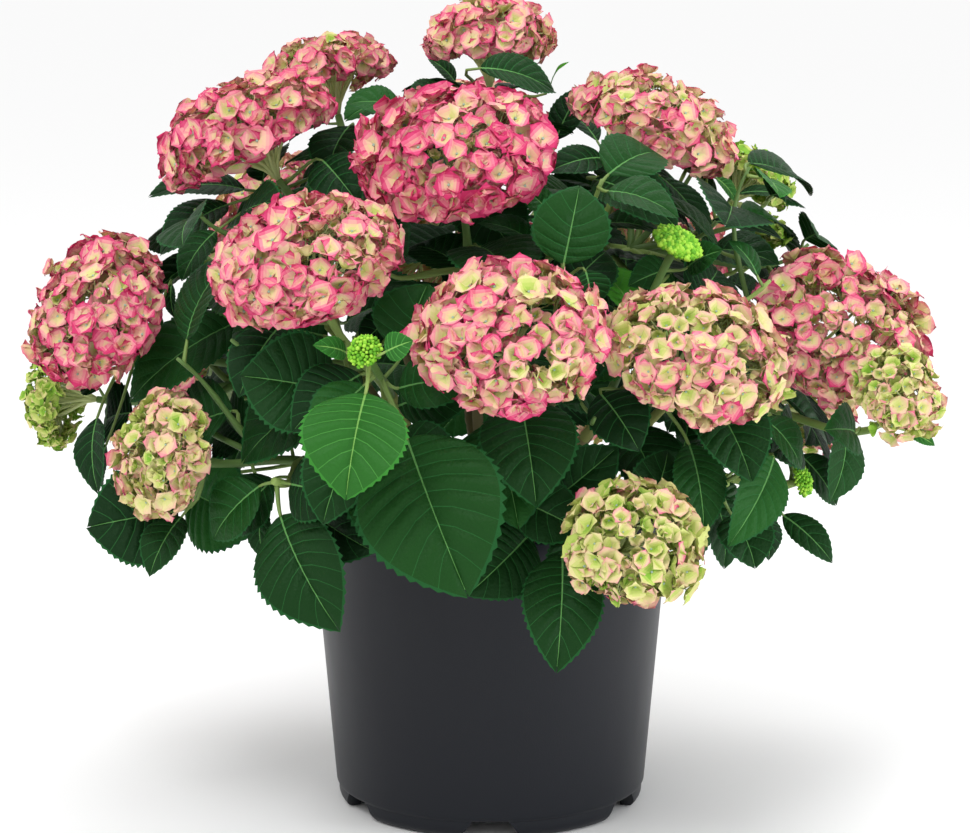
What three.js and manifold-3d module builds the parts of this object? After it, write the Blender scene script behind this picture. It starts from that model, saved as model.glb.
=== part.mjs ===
// A mophead hydrangea in a round nursery pot. Millimetres, +Z up. The origin is the centre of the
// pot's flat underside, and -Y is the front of the plant.
//
// Canes rise from the soil. Each ends in a leafy mass, whose stem forks into shoots. A shoot bears
// pairs of opposite leaves, each pair a quarter turn from the last, and ends in a flower head or a bud.
import * as THREE from "three";
import { mergeVertices } from "three/addons/utils/BufferGeometryUtils.js";
import Module from "manifold-3d";

const wasm = await Module();
wasm.setup();

// ---------------------------------------------------------------- driving dimensions

const GAP = 0.3; // clearance between neighbouring solids

const POT = {
  height: 241,
  rimRadius: 145.5,
  mouthRadius: 140.5,
  rimBand: 16, // height of the thick band at the top
  wallTopRadius: 143,
  wallFootRadius: 125.3,
  wall: 2.6,
  stepHeight: 17, // the wall steps in above the foot
  footRadius: 123.4,
  footRound: 9,
  footInnerRadius: 110,
  hubRadius: 78, // flat middle of the base
  channelHeight: 15.5, // raised ring between hub and foot
  notches: 6,
  notchTop: 28,
  notchFoot: 47,
  sides: 34,
};

const SOIL = { level: 218, crownRadius: 96, edgeDrop: 5 };

const CANE = { footRadius: 5.4, tipRadius: 4.2, sides: 5, steps: 3 };
const STEM = { rootRadius: 4.0, neckRadius: 3.1, sides: 4, steps: 4, collar: 8 };

const HEAD = {
  thickness: 0.55, // of its width
  domeShare: 0.64, // of the thickness, above the widest ring
  lump: 0.045, // relief of the florets, of the width
  neckDrop: 13, // stalk between the head's underside and the top pair of leaves
  rings: [26, 54, 84, 116, 150], // degrees from the top
  fewRings: [38, 84, 132], // for a small head
  outlook: 84, // open space in front of a head, that no leaf grows into
};

// Heights on the plant's axis that shoots and leaves face away from.
const AXIS = { shoots: 180, leaves: 270 };

const LEAF = {
  thickness: 2.2,
  petioleRadius: 1.2,
  petiole: 22,
  firstNode: 7, // stem between a head's neck and its first pair
  nodeSpacing: 34,
  lengths: [84, 104, 116, 116, 104], // from the top pair down
  widthShare: 0.78,
  droop: 0.8, // radians that the midrib turns through
  fold: 0.2, // radians that each half lifts
  turns: [0, 0.4, -0.4, 0.8, -0.8, 1.2, -1.2], // of the blade, tried in order, in radians
  sizes: [1, 0.8], // shares of its full size that are tried in order
  fineFrom: 58, // width from which a set leaf has the finer outline
};

// The blade's half width at shares of the midrib, as a share of the widest.
const FINE_BLADE = [[0.14, 0.66], [0.46, 1.0], [0.8, 0.58]];
const PLAIN_BLADE = [[0.26, 0.9], [0.7, 0.82]];

// The crown's outline: no leaf that grows by the rule passes it.
const CROWN = {
  centreHeight: 385,
  halfWidth: 352,
  halfDepth: 306,
  halfHeight: 240,
  lowest: 176,
  shoulder: 1.4, // how full it is above its centre: 1 a cone, 2 an ellipsoid
};

// Leafy side shoots fill the crown where no head or shoot is near.
const FILL = {
  places: 120,
  depth: 0.8, // of the crown's outline
  headRoom: 14, // to a head's edge
  tipRoom: 84, // to another shoot's tip
  branching: 0.3, // where a side shoot leaves its parent, from the fork
  longest: 260,
  pairs: 3,
  turn: 53, // degrees from one side shoot's first pair to the next one's
  big: 0.9,
  rootRadius: 3.4,
  tipRadius: 1.4,
  sides: 3,
  most: 19,
};

const SEEDS = { leaves: 41, heads: 7 };

// Canes and the shoots that each one ends in. at is the centre of a head or bud, across a head's
// width, lean the height that it faces in degrees and swing its turn to the left. pairs counts the
// pairs of leaves, turn is the first pair's heading in degrees, big the leaves' size, and leaves
// lists single leaves by the two ends of their blades.
const CANES = [
  { name: "top", foot: [4, 12], fork: [2, 26, 440], shoots: [
    { name: "top", at: [-1, 40, 608], across: 116, lean: 84, pairs: 3, turn: 10, big: 0.8, leaves: [
      { base: [-8, -42, 593], tip: [51, -22, 572], width: 40 },
      { base: [-34, 0, 572], tip: [-64, -20, 569], width: 29 },
      { base: [48, 28, 574], tip: [62, 10, 595], width: 10 } ] },
    { name: "top_sprig", at: [-84, 34, 540], bud: 10, pairs: 2, turn: 40, big: 0.62, leaves: [
      { base: [-74, 50, 561], tip: [-116, 24, 547], width: 44 } ] },
  ] },
  { name: "upper_left", foot: [-34, 16], fork: [-88, 34, 415], shoots: [
    { name: "upper_left", at: [-188, -10, 538], across: 138, lean: 58, pairs: 3, turn: 30, big: 0.92,
      leaves: [
        { base: [-131, -30, 521], tip: [-101, -60, 489], width: 47 },
        { base: [-208, 10, 482], tip: [-261, -10, 443], width: 48 },
        { base: [-214, -36, 466], tip: [-240, -48, 428], width: 35 } ] },
    { name: "upper_left_back", at: [-134, 112, 578], across: 110, lean: 70, pairs: 3, turn: 65, big: 0.85,
      leaves: [
        { base: [-200, 82, 486], tip: [-277, 56, 483], width: 40 },
        { base: [-113, 46, 541], tip: [-130, 10, 502], width: 47 } ] },
  ] },
  { name: "centre_top", foot: [-8, -26], fork: [-14, -66, 405], shoots: [
    { name: "centre_top", at: [-27, -120, 532], across: 150, lean: 56, pairs: 3, turn: 45, big: 0.92,
      leaves: [
        { base: [-16, -18, 489], tip: [19, -62, 449], width: 62 } ] },
    { name: "centre_sprig", at: [56, -176, 452], bud: 14, pairs: 2, turn: 90, big: 0.6, leaves: [
      { base: [53, -186, 460], tip: [65, -166, 516], width: 58 },
      { base: [69, -186, 455], tip: [74, -184, 427], width: 31 },
      { base: [45, -112, 488], tip: [25, -98, 505], width: 23 } ] },
  ] },
  { name: "upper_right", foot: [36, 10], fork: [72, 14, 420], shoots: [
    { name: "upper_right", at: [125, -10, 543], across: 132, lean: 62, pairs: 3, turn: 20, big: 0.9,
      leaves: [
        { base: [86, -66, 526], tip: [41, -96, 517], width: 29 },
        { base: [79, -70, 510], tip: [141, -110, 477], width: 52 },
        { base: [123, 18, 502], tip: [122, 4, 467], width: 36 },
        { base: [136, 46, 501], tip: [180, 36, 438], width: 32 } ] },
    { name: "right_back", at: [214, 104, 494], across: 74, lean: 50, pairs: 3, turn: 75, big: 0.8,
      leaves: [
        { base: [174, 10, 445], tip: [228, -12, 436], width: 46 },
        { base: [179, 56, 463], tip: [237, 46, 449], width: 19 },
        { base: [201, 62, 485], tip: [241, 52, 483], width: 15 } ] },
  ] },
  { name: "left", foot: [-62, 2], fork: [-150, -8, 335], shoots: [
    { name: "left", at: [-304, -60, 406], across: 124, lean: 32, swing: 38, pairs: 3, turn: 15, big: 0.92,
      leaves: [
        { base: [-195, -48, 397], tip: [-282, -62, 335], width: 62 },
        { base: [-306, -66, 324], tip: [-303, -90, 268], width: 34 },
        { base: [-187, -60, 401], tip: [-212, -70, 411], width: 20 } ] },
    { name: "left_low", at: [-350, 56, 322], across: 84, lean: 8, pairs: 2, turn: 50, big: 0.85 },
  ] },
  { name: "centre_left", foot: [-34, -36], fork: [-74, -112, 345], shoots: [
    { name: "centre_left", at: [-133, -200, 461], across: 144, lean: 58, pairs: 3, turn: 70, big: 0.9,
      leaves: [
        { base: [-112, -202, 368], tip: [-184, -192, 378], width: 76 },
        { base: [-158, -156, 408], tip: [-186, -184, 360], width: 46 } ] },
    { name: "front_bud", at: [-88, -286, 411], bud: 24, pairs: 1, turn: 95, big: 0.5, leaves: [
      { base: [-88, -291, 382], tip: [-101, -322, 312], width: 76 },
      { base: [-60, -250, 342], tip: [-16, -292, 235], width: 108 },
      { base: [-64, -206, 398], tip: [-46, -188, 446], width: 60 },
      { base: [-103, -264, 407], tip: [-125, -290, 416], width: 17 },
      { base: [-74, -301, 413], tip: [-54, -306, 422], width: 21 } ] },
  ] },
  { name: "centre", foot: [4, -58], fork: [10, -142, 325], shoots: [
    { name: "centre", at: [15, -270, 420], across: 138, lean: 34, pairs: 3, turn: 40, big: 0.85, leaves: [
      { base: [28, -206, 262], tip: [-18, -232, 222], width: 60 } ] },
  ] },
  { name: "centre_right", foot: [40, -38], fork: [84, -104, 335], shoots: [
    { name: "centre_right", at: [147, -220, 398], across: 134, lean: 40, pairs: 3, turn: 60, big: 0.88,
      leaves: [
        { base: [163, -182, 357], tip: [190, -220, 304], width: 60 },
        { base: [80, -200, 366], tip: [108, -222, 327], width: 48 },
        { base: [146, -186, 326], tip: [156, -214, 264], width: 42 } ] },
    { name: "right_bud", at: [140, -150, 474], bud: 36, pairs: 1, turn: 20, big: 0.6, leaves: [
      { base: [137, -88, 443], tip: [103, -118, 434], width: 30 },
      { base: [148, -122, 449], tip: [173, -144, 465], width: 27 } ] },
  ] },
  { name: "right", foot: [64, -8], fork: [142, -20, 330], shoots: [
    { name: "right", at: [270, -60, 390], across: 138, lean: 36, swing: -38, pairs: 3, turn: 35, big: 0.88,
      leaves: [
        { base: [278, -48, 314], tip: [264, -74, 258], width: 40 } ] },
    { name: "right_low", at: [303, -165, 361], across: 72, lean: 45, swing: -45, pairs: 1, turn: 80,
      big: 0.5 },
  ] },
  { name: "lower_right", foot: [30, -66], fork: [66, -150, 286], shoots: [
    { name: "lower_right", at: [101, -268, 271], across: 108, lean: 28, pairs: 1, turn: 25, big: 0.8,
      leaves: [
        { base: [52, -224, 251], tip: [47, -266, 173], width: 60 },
        { base: [36, -188, 276], tip: [94, -194, 326], width: 56 },
        { base: [116, -200, 278], tip: [131, -182, 321], width: 48 } ] },
  ] },
  { name: "lower_left", foot: [-58, -34], fork: [-140, -92, 292], shoots: [
    { name: "lower_left", at: [-244, -150, 311], across: 102, lean: 15, pairs: 1, turn: 60, big: 0.8,
      leaves: [
        { base: [-241, -96, 256], tip: [-312, -100, 244], width: 78 } ] },
    { name: "left_skirt", at: [-162, -182, 298], bud: 10, pairs: 2, turn: 5, big: 0.75, leaves: [
      { base: [-156, -186, 272], tip: [-110, -230, 194], width: 72 },
      { base: [-235, -78, 269], tip: [-171, -110, 251], width: 75 } ] },
  ] },
  { name: "right_skirt", foot: [62, -34], fork: [134, -78, 284], shoots: [
    { name: "low_bud", at: [239, -92, 279], bud: 24, pairs: 1, turn: 70, big: 0.6, leaves: [
      { base: [226, -92, 252], tip: [264, -106, 217], width: 27 },
      { base: [208, -110, 257], tip: [214, -110, 220], width: 24 } ] },
    { name: "right_skirt", at: [178, -160, 292], bud: 10, pairs: 1, turn: 30, big: 0.8, leaves: [
      { base: [210, -176, 314], tip: [173, -220, 256], width: 42 },
      { base: [182, -148, 264], tip: [198, -172, 228], width: 48 } ] },
  ] },
  { name: "back_left", foot: [-52, 44], fork: [-118, 108, 345], shoots: [
    { name: "back_left", at: [-172, 208, 448], across: 140, lean: 48, pairs: 3, turn: 45, big: 0.92 },
    { name: "back_low_left", at: [-226, 226, 306], across: 120, lean: 22, pairs: 3, turn: 10, big: 0.9 },
  ] },
  { name: "back_top", foot: [4, 42], fork: [14, 98, 405], shoots: [
    { name: "back_top", at: [-14, 176, 520], across: 134, lean: 62, pairs: 3, turn: 0, big: 0.92 },
  ] },
  { name: "back_centre", foot: [-10, 70], fork: [-24, 152, 335], shoots: [
    { name: "back_centre", at: [-30, 286, 410], across: 146, lean: 40, pairs: 3, turn: 80, big: 0.92 },
    { name: "back_low_centre", at: [52, 306, 276], across: 116, lean: 20, pairs: 2, turn: 30, big: 0.9 },
  ] },
  { name: "back_right", foot: [54, 42], fork: [124, 104, 335], shoots: [
    { name: "back_right", at: [138, 230, 424], across: 136, lean: 46, pairs: 3, turn: 55, big: 0.92 },
    { name: "back_low_right", at: [258, 168, 306], across: 118, lean: 22, pairs: 3, turn: 15, big: 0.9 },
  ] },
];

const COLOUR = {
  pot: 0x2c2d31,
  soil: 0x2b1d14,
  cane: 0x6d6a3c,
  leaf: 0x1d4a25,
  pink: 0xdf6f8d,
  green: 0xb6cf62,
};

// ---------------------------------------------------------------- small tools

const UP = new THREE.Vector3(0, 0, 1);
const FRONT = new THREE.Vector3(0, -0.9, 0); // how far set leaves turn to the plant's front
const vec = (p) => new THREE.Vector3(...p);
const clamp = THREE.MathUtils.clamp;

// A repeatable stream of numbers from 0 to 1.
function seeded(seed) {
  let state = seed >>> 0;
  return () => {
    state = (Math.imul(state, 1664525) + 1013904223) >>> 0;
    return state / 4294967296;
  };
}

// The part of v that is square to the unit vector n, at unit length.
function squareTo(v, n) {
  return v.clone().addScaledVector(n, -v.dot(n)).normalize();
}

function closedGeometry(points, triangles) {
  const geometry = new THREE.BufferGeometry();
  const places = points.flatMap((p) => p.toArray());
  geometry.setAttribute("position", new THREE.Float32BufferAttribute(places, 3));
  geometry.setIndex(triangles.flat());
  return geometry;
}

function solidOf(geometry) {
  const bare = geometry.clone();
  bare.deleteAttribute("normal");
  bare.deleteAttribute("uv");
  const merged = mergeVertices(bare, 1e-4);
  return new wasm.Manifold(new wasm.Mesh({
    numProp: 3,
    vertProperties: merged.attributes.position.array,
    triVerts: new Uint32Array(merged.index.array),
  }));
}

function geometryOf(solid) {
  const mesh = solid.getMesh();
  const geometry = new THREE.BufferGeometry();
  geometry.setAttribute("position", new THREE.BufferAttribute(mesh.vertProperties, 3));
  geometry.setIndex(new THREE.BufferAttribute(mesh.triVerts, 1));
  return geometry;
}

// Joins closed geometries into one, and keeps its largest piece.
function fuse(geometries) {
  const whole = geometries.map(solidOf).reduce((a, b) => a.add(b));
  const pieces = whole.decompose().sort((a, b) => b.volume() - a.volume());
  return geometryOf(pieces[0]);
}

function makeMesh(name, geometry, colour, roughness) {
  const material = new THREE.MeshStandardMaterial({ color: colour, roughness, metalness: 0 });
  const mesh = new THREE.Mesh(geometry, material);
  mesh.name = name;
  return mesh;
}

// ---------------------------------------------------------------- pot and soil

// Radius of the pot's outer wall at a height.
function wallRadius(height) {
  const share = (height - POT.stepHeight) / (POT.height - POT.rimBand - POT.stepHeight);
  return THREE.MathUtils.lerp(POT.wallFootRadius, POT.wallTopRadius, share);
}

// The inner side of the base and wall, from the axis outwards and up, grown inwards by inset.
function innerProfile(inset, top) {
  const floor = POT.wall + inset;
  const innerWall = (z) => wallRadius(z) - POT.wall - inset;
  return [
    [0, floor],
    [POT.hubRadius - 2 - inset, floor],
    [POT.hubRadius + 2 - inset, POT.channelHeight + floor],
    [innerWall(POT.channelHeight + floor), POT.channelHeight + floor],
    [innerWall(top), top],
  ];
}

function lathe(profile, sides) {
  const points = profile.map(([r, z]) => new THREE.Vector2(r, z));
  return new THREE.LatheGeometry(points, sides).rotateX(Math.PI / 2);
}

function potGeometry() {
  const round = POT.footRound;
  const under = [
    [0, 0],
    [POT.hubRadius, 0],
    [POT.hubRadius + 4, POT.channelHeight],
    [POT.footInnerRadius - 1, POT.channelHeight],
    [POT.footInnerRadius, 0],
  ];
  const corner = [0, 0.5, 1].map((share) => {
    const angle = (share * Math.PI) / 2;
    return [POT.footRadius - round + round * Math.sin(angle), round - round * Math.cos(angle)];
  });
  const bandFoot = POT.height - POT.rimBand;
  const outside = [
    [POT.footRadius, POT.stepHeight - 3],
    [POT.wallFootRadius, POT.stepHeight],
    [POT.wallTopRadius, bandFoot],
    [POT.rimRadius, bandFoot + 2],
    [POT.rimRadius, POT.height - 2],
    [POT.rimRadius - 1.5, POT.height],
    [POT.mouthRadius + 1, POT.height],
    [POT.mouthRadius, POT.height - 1.5],
    [POT.mouthRadius, bandFoot],
  ];
  const inside = innerProfile(0, bandFoot - 4).reverse();
  const body = solidOf(lathe([...under, ...corner, ...outside, ...inside], POT.sides));
  return geometryOf(notchTools().reduce((pot, tool) => pot.subtract(solidOf(tool)), body));
}

// Trapezoid drain notches through the foot, the first at the front.
function notchTools() {
  const outline = new THREE.Shape([
    new THREE.Vector2(-POT.notchFoot / 2 - 2, -1),
    new THREE.Vector2(POT.notchFoot / 2 + 2, -1),
    new THREE.Vector2(POT.notchTop / 2, POT.channelHeight - 0.5),
    new THREE.Vector2(-POT.notchTop / 2, POT.channelHeight - 0.5),
  ]);
  const depth = 24;
  return Array.from({ length: POT.notches }, (_, i) =>
    new THREE.ExtrudeGeometry(outline, { depth, bevelEnabled: false })
      .rotateX(Math.PI / 2)
      .translate(0, -(POT.footInnerRadius - 8), 0)
      .rotateZ((i * 2 * Math.PI) / POT.notches));
}

function soilGeometry() {
  const edge = SOIL.level - SOIL.edgeDrop;
  const fill = innerProfile(GAP + 0.1, edge);
  return lathe([...fill, [SOIL.crownRadius, SOIL.level], [0, SOIL.level]], POT.sides);
}

// ---------------------------------------------------------------- limbs

// Two directions across a curve at equal steps, each turned as little as may be from the last.
function limbFrames(curve, steps) {
  const normals = [];
  const binormals = [];
  let side = squareTo(new THREE.Vector3(1, 0.3, 0), curve.getTangent(0));
  for (let i = 0; i <= steps; i++) {
    const way = curve.getTangent(i / steps);
    side = squareTo(side, way);
    normals.push(side);
    binormals.push(new THREE.Vector3().crossVectors(way, side));
  }
  return { normals, binormals };
}

// A tapering limb along a curve, with flat ends.
function limbGeometry(curve, startRadius, endRadius, sides, steps) {
  const frames = limbFrames(curve, steps);
  const points = [];
  const triangles = [];
  for (let i = 0; i <= steps; i++) {
    const centre = curve.getPoint(i / steps);
    const radius = THREE.MathUtils.lerp(startRadius, endRadius, i / steps);
    for (let j = 0; j < sides; j++) {
      const angle = (j * 2 * Math.PI) / sides;
      points.push(centre.clone()
        .addScaledVector(frames.normals[i], radius * Math.cos(angle))
        .addScaledVector(frames.binormals[i], radius * Math.sin(angle)));
    }
  }
  for (let i = 0; i < steps; i++) {
    for (let j = 0; j < sides; j++) {
      const [a, b] = [i * sides + j, i * sides + ((j + 1) % sides)];
      triangles.push([a, b, b + sides], [a, b + sides, a + sides]);
    }
  }
  const last = steps * sides;
  for (let j = 1; j < sides - 1; j++) {
    triangles.push([0, j + 1, j], [last, last + j, last + j + 1]);
  }
  return closedGeometry(points, triangles);
}

function bezier(start, startWay, end, endWay) {
  const reach = start.distanceTo(end) * 0.38;
  return new THREE.CubicBezierCurve3(
    start,
    start.clone().addScaledVector(startWay, reach),
    end.clone().addScaledVector(endWay, -reach),
    end,
  );
}

// ---------------------------------------------------------------- the plan of the crown

// Away from a point on the plant's axis.
function facing(at, height) {
  return at.clone().sub(new THREE.Vector3(0, 0, height)).normalize();
}

// Away from the plant's axis, lean degrees above the level and swung to the left by swing degrees.
function leaning(at, lean, swing = 0) {
  const out = new THREE.Vector3(at.x, at.y, 0).normalize();
  const way = turnAbout(out, UP, THREE.MathUtils.degToRad(swing));
  return turnAbout(way, new THREE.Vector3().crossVectors(way, UP), THREE.MathUtils.degToRad(lean));
}

// A shoot with its curve, from a start on a limb that heads one way to the neck below its head
// or bud.
function planShoot(shoot, start, way) {
  const at = vec(shoot.at);
  const face = shoot.across ? leaning(at, shoot.lean, shoot.swing) : facing(at, AXIS.shoots);
  const below = shoot.across
    ? shoot.across * HEAD.thickness * (1 - HEAD.domeShare) + HEAD.neckDrop
    : shoot.bud * 0.15;
  const neck = at.clone().addScaledVector(face, -below);
  const startWay = neck.clone().sub(start).normalize().addScaledVector(way, 0.4).normalize();
  const main = shoot.name !== undefined;
  return { ...shoot, main, at, face, neck, curve: bezier(start, startWay, neck, face), grown: [] };
}

function planLimbs() {
  return CANES.map((cane, i) => {
    const foot = new THREE.Vector3(cane.foot[0], cane.foot[1], SOIL.level + GAP);
    const fork = vec(cane.fork);
    const rise = fork.clone().sub(foot).normalize();
    const way = rise.addScaledVector(facing(fork, AXIS.shoots), 0.6).normalize();
    const limb = { ...cane, owner: i + 1, curve: bezier(foot, UP, fork, way), way };
    const start = fork.clone().addScaledVector(way, GAP + STEM.collar * 0.6);
    limb.shoots = cane.shoots.map((shoot) => planShoot(shoot, start, way));
    return limb;
  });
}

// Places spread evenly over the crown, a little inside its outline.
function crownPlaces() {
  const golden = Math.PI * (3 - Math.sqrt(5));
  return Array.from({ length: FILL.places }, (_, i) => {
    const up = 0.86 - (1.56 * (i + 0.5)) / FILL.places;
    const out = Math.sqrt(1 - up * up);
    return new THREE.Vector3(
      out * CROWN.halfWidth * FILL.depth * Math.cos(i * golden),
      out * CROWN.halfDepth * FILL.depth * Math.sin(i * golden),
      CROWN.centreHeight + up * CROWN.halfHeight * FILL.depth,
    );
  });
}

// Adds a leafy side shoot at each place that is far enough from the others. It leaves the nearest
// shoot that reaches it freely.
function fillCrown(limbs) {
  let count = 0;
  for (const at of crownPlaces()) {
    const parents = limbs.flatMap((limb) => limb.shoots.map((shoot) => ({ limb, shoot })));
    const crowded = parents.some(({ shoot }) =>
      at.distanceTo(shoot.at) < (shoot.across ? shoot.across / 2 + FILL.headRoom : FILL.tipRoom));
    if (crowded || count >= FILL.most) continue;
    const reach = ({ shoot }) => at.distanceTo(stemPoint(shoot, FILL.branching));
    const nearest = parents.filter(({ shoot }) => shoot.main).sort((a, b) => reach(a) - reach(b));
    for (const { limb, shoot: parent } of nearest.slice(0, 4)) {
      const plan = { at: at.toArray(), bud: 0, pairs: FILL.pairs, turn: FILL.turn * count, big: FILL.big };
      const start = stemPoint(parent, FILL.branching);
      const shoot = planShoot(plan, start, parent.curve.getTangent(FILL.branching));
      const path = alongCurve(shoot.curve, 0.12, STEM.rootRadius);
      if (shoot.curve.getLength() > FILL.longest || !isOpen(path, limb.owner)) continue;
      take(path, limb.owner);
      limb.shoots.push(shoot);
      count++;
      break;
    }
  }
}

// ---------------------------------------------------------------- the book of space

// Which cells of the crown's space are taken, so that no leaf meets a limb, a head or another leaf.
const CELL = 4;
const NUDGE = 0.05; // keeps points at whole millimetres off the cells' borders
const BOOK = { half: 105, height: 176 };
const HEAD_OR_CANE = 255; // owners are numbered from 1 for the masses
const taken = new Uint8Array(4 * BOOK.half * BOOK.half * BOOK.height);

function cellOf(p) {
  const i = Math.floor((p.x + NUDGE) / CELL) + BOOK.half;
  const j = Math.floor((p.y + NUDGE) / CELL) + BOOK.half;
  const k = Math.floor((p.z + NUDGE) / CELL);
  const side = 2 * BOOK.half;
  const inside = i > 0 && j > 0 && k > 0 && i < side - 1 && j < side - 1 && k < BOOK.height - 1;
  return inside ? (k * side + j) * side + i : -1;
}

// Takes the cells that hold the points, and their neighbours, for an owner.
function take(points, owner) {
  const side = 2 * BOOK.half;
  for (const p of points) {
    const cell = cellOf(p);
    if (cell < 0) continue;
    for (let dk = -1; dk <= 1; dk++)
      for (let dj = -1; dj <= 1; dj++)
        for (let di = -1; di <= 1; di++) taken[cell + (dk * side + dj) * side + di] ||= owner;
  }
}

function inPot(p) {
  return p.z < POT.height + 4 && Math.hypot(p.x, p.y) < POT.rimRadius + 4;
}

function inCrown(p) {
  const up = (p.z - CROWN.centreHeight) / CROWN.halfHeight;
  const out = Math.hypot(p.x / CROWN.halfWidth, p.y / CROWN.halfDepth);
  const power = up > 0 ? CROWN.shoulder : 2;
  return p.z > CROWN.lowest && Math.abs(up) ** power + out ** power < 1;
}

// Whether nothing else is in the way. A limb may pass what its own mass has taken.
function isOpen(points, owner = 0) {
  return points.every((p) => {
    const cell = cellOf(p);
    return cell >= 0 && (taken[cell] === 0 || taken[cell] === owner) && !inPot(p);
  });
}

// Points over a triangle, no more than a cell apart.
function overTriangle(a, b, c) {
  const longest = Math.max(a.distanceTo(b), b.distanceTo(c), c.distanceTo(a));
  const n = Math.ceil(longest / CELL);
  const points = [];
  for (let i = 0; i <= n; i++)
    for (let j = 0; j <= n - i; j++) {
      const share = a.clone().multiplyScalar((n - i - j) / n);
      points.push(share.addScaledVector(b, i / n).addScaledVector(c, j / n));
    }
  return points;
}

// Points through a limb, from a share of its curve on.
function alongCurve(curve, from, radius) {
  const n = 48;
  const points = [];
  for (let i = Math.floor(from * n); i <= n; i++) {
    const centre = curve.getPoint(i / n);
    for (const way of [[0, 0, 0], [1, 0, 0], [-1, 0, 0], [0, 1, 0], [0, -1, 0], [0, 0, 1], [0, 0, -1]])
      points.push(centre.clone().addScaledVector(vec(way), radius));
  }
  return points;
}

// Points through a flower head and, thinner, through the open space that it faces.
function throughHead(shoot) {
  const frame = headFrame(shoot);
  const radius = shoot.across / 2 + shoot.across * HEAD.lump;
  const points = [];
  for (let x = -radius; x <= radius; x += CELL)
    for (let y = -radius; y <= radius; y += CELL)
      for (let z = -radius; z <= radius; z += CELL) {
        const half = headHalf(shoot, z) + shoot.across * HEAD.lump;
        if ((x * x + y * y) / (radius * radius) + (z * z) / (half * half) > 1) continue;
        points.push(new THREE.Vector3(x, y, z).applyMatrix4(frame));
        if (z > 0) points.push(new THREE.Vector3(x, y, z + HEAD.outlook / 2).applyMatrix4(frame));
        if (z > 0) points.push(new THREE.Vector3(x * 0.9, y * 0.9, z + HEAD.outlook).applyMatrix4(frame));
      }
  return points;
}

// Points through a round bud.
function throughBud(shoot) {
  const radius = shoot.bud / 2;
  const steps = Array.from({ length: 9 }, (_, i) => (i / 4 - 1) * radius);
  return steps.flatMap((x) => steps.flatMap((y) => steps.map((z) => new THREE.Vector3(x, y, z))))
    .filter((p) => p.length() <= radius * 1.01)
    .map((p) => p.add(shoot.at));
}

// ---------------------------------------------------------------- flower heads

// A head's frame: +Z along the way it faces.
function headFrame(shoot) {
  const turn = new THREE.Quaternion().setFromUnitVectors(UP, shoot.face);
  return new THREE.Matrix4().compose(shoot.at, turn, new THREE.Vector3(1, 1, 1));
}

// A head is a dome over a shallower underside. Its half height on the side of z.
function headHalf(shoot, z) {
  return shoot.across * HEAD.thickness * (z > 0 ? HEAD.domeShare : 1 - HEAD.domeShare);
}

// A closed dome of rings of points, each ring turned half a step from the last.
function lumpyDome(shoot, random) {
  const [rings, sides] = shoot.across > 90 ? [HEAD.rings, 12] : [HEAD.fewRings, 9];
  const frame = headFrame(shoot);
  const radius = shoot.across / 2;
  const place = (tilt, turn) => {
    const out = radius * Math.sin(tilt);
    const up = Math.cos(tilt);
    return new THREE.Vector3(out * Math.cos(turn), out * Math.sin(turn), up * headHalf(shoot, up))
      .multiplyScalar(1 + 2 * HEAD.lump * (random() - 0.5))
      .applyMatrix4(frame);
  };
  const points = [place(0, 0), place(Math.PI, 0)];
  rings.forEach((tilt, i) => {
    for (let j = 0; j < sides; j++)
      points.push(place(THREE.MathUtils.degToRad(tilt), ((j + i / 2) * 2 * Math.PI) / sides));
  });
  const at = (ring, j) => 2 + ring * sides + (j % sides);
  const triangles = [];
  for (let j = 0; j < sides; j++) {
    const last = rings.length - 1;
    triangles.push([0, at(0, j), at(0, j + 1)], [1, at(last, j + 1), at(last, j)]);
    for (let i = 0; i < last; i++) {
      triangles.push([at(i, j), at(i + 1, j), at(i, j + 1)]);
      triangles.push([at(i, j + 1), at(i + 1, j), at(i + 1, j + 1)]);
    }
  }
  return closedGeometry(points, triangles);
}

function headGeometry(shoot, random) {
  const top = shoot.at.clone().addScaledVector(shoot.face, -0.1 * shoot.across);
  const stalk = new THREE.LineCurve3(shoot.neck.clone().addScaledVector(shoot.face, GAP), top);
  return fuse([
    limbGeometry(stalk, STEM.neckRadius, STEM.neckRadius * 1.4, STEM.sides, 1),
    lumpyDome(shoot, random),
  ]);
}

// ---------------------------------------------------------------- leaves

// A leaf's frame at a share of its midrib: place, heading, upper side and left side.
function midrib(leaf, share) {
  const angle = leaf.droop * share;
  const { ahead, upper } = leaf;
  const place = leaf.base.clone()
    .addScaledVector(ahead, (leaf.length * Math.sin(angle)) / leaf.droop)
    .addScaledVector(upper, (-leaf.length * (1 - Math.cos(angle))) / leaf.droop);
  const normal = upper.clone().multiplyScalar(Math.cos(angle)).addScaledVector(ahead, Math.sin(angle));
  const left = new THREE.Vector3().crossVectors(upper, ahead);
  return { place, normal, left };
}

// The blade's stations, each with the midrib and both margins, and the tip.
function bladePoints(leaf) {
  const stations = leaf.blade.map(([share, wide]) => {
    const { place, normal, left } = midrib(leaf, share);
    const half = (leaf.width / 2) * wide;
    const lift = half * Math.sin(LEAF.fold);
    const across = half * Math.cos(LEAF.fold);
    return {
      middle: place,
      normal,
      left: place.clone().addScaledVector(left, across).addScaledVector(normal, lift),
      right: place.clone().addScaledVector(left, -across).addScaledVector(normal, lift),
    };
  });
  return { stations, tip: midrib(leaf, 1).place };
}

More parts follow.
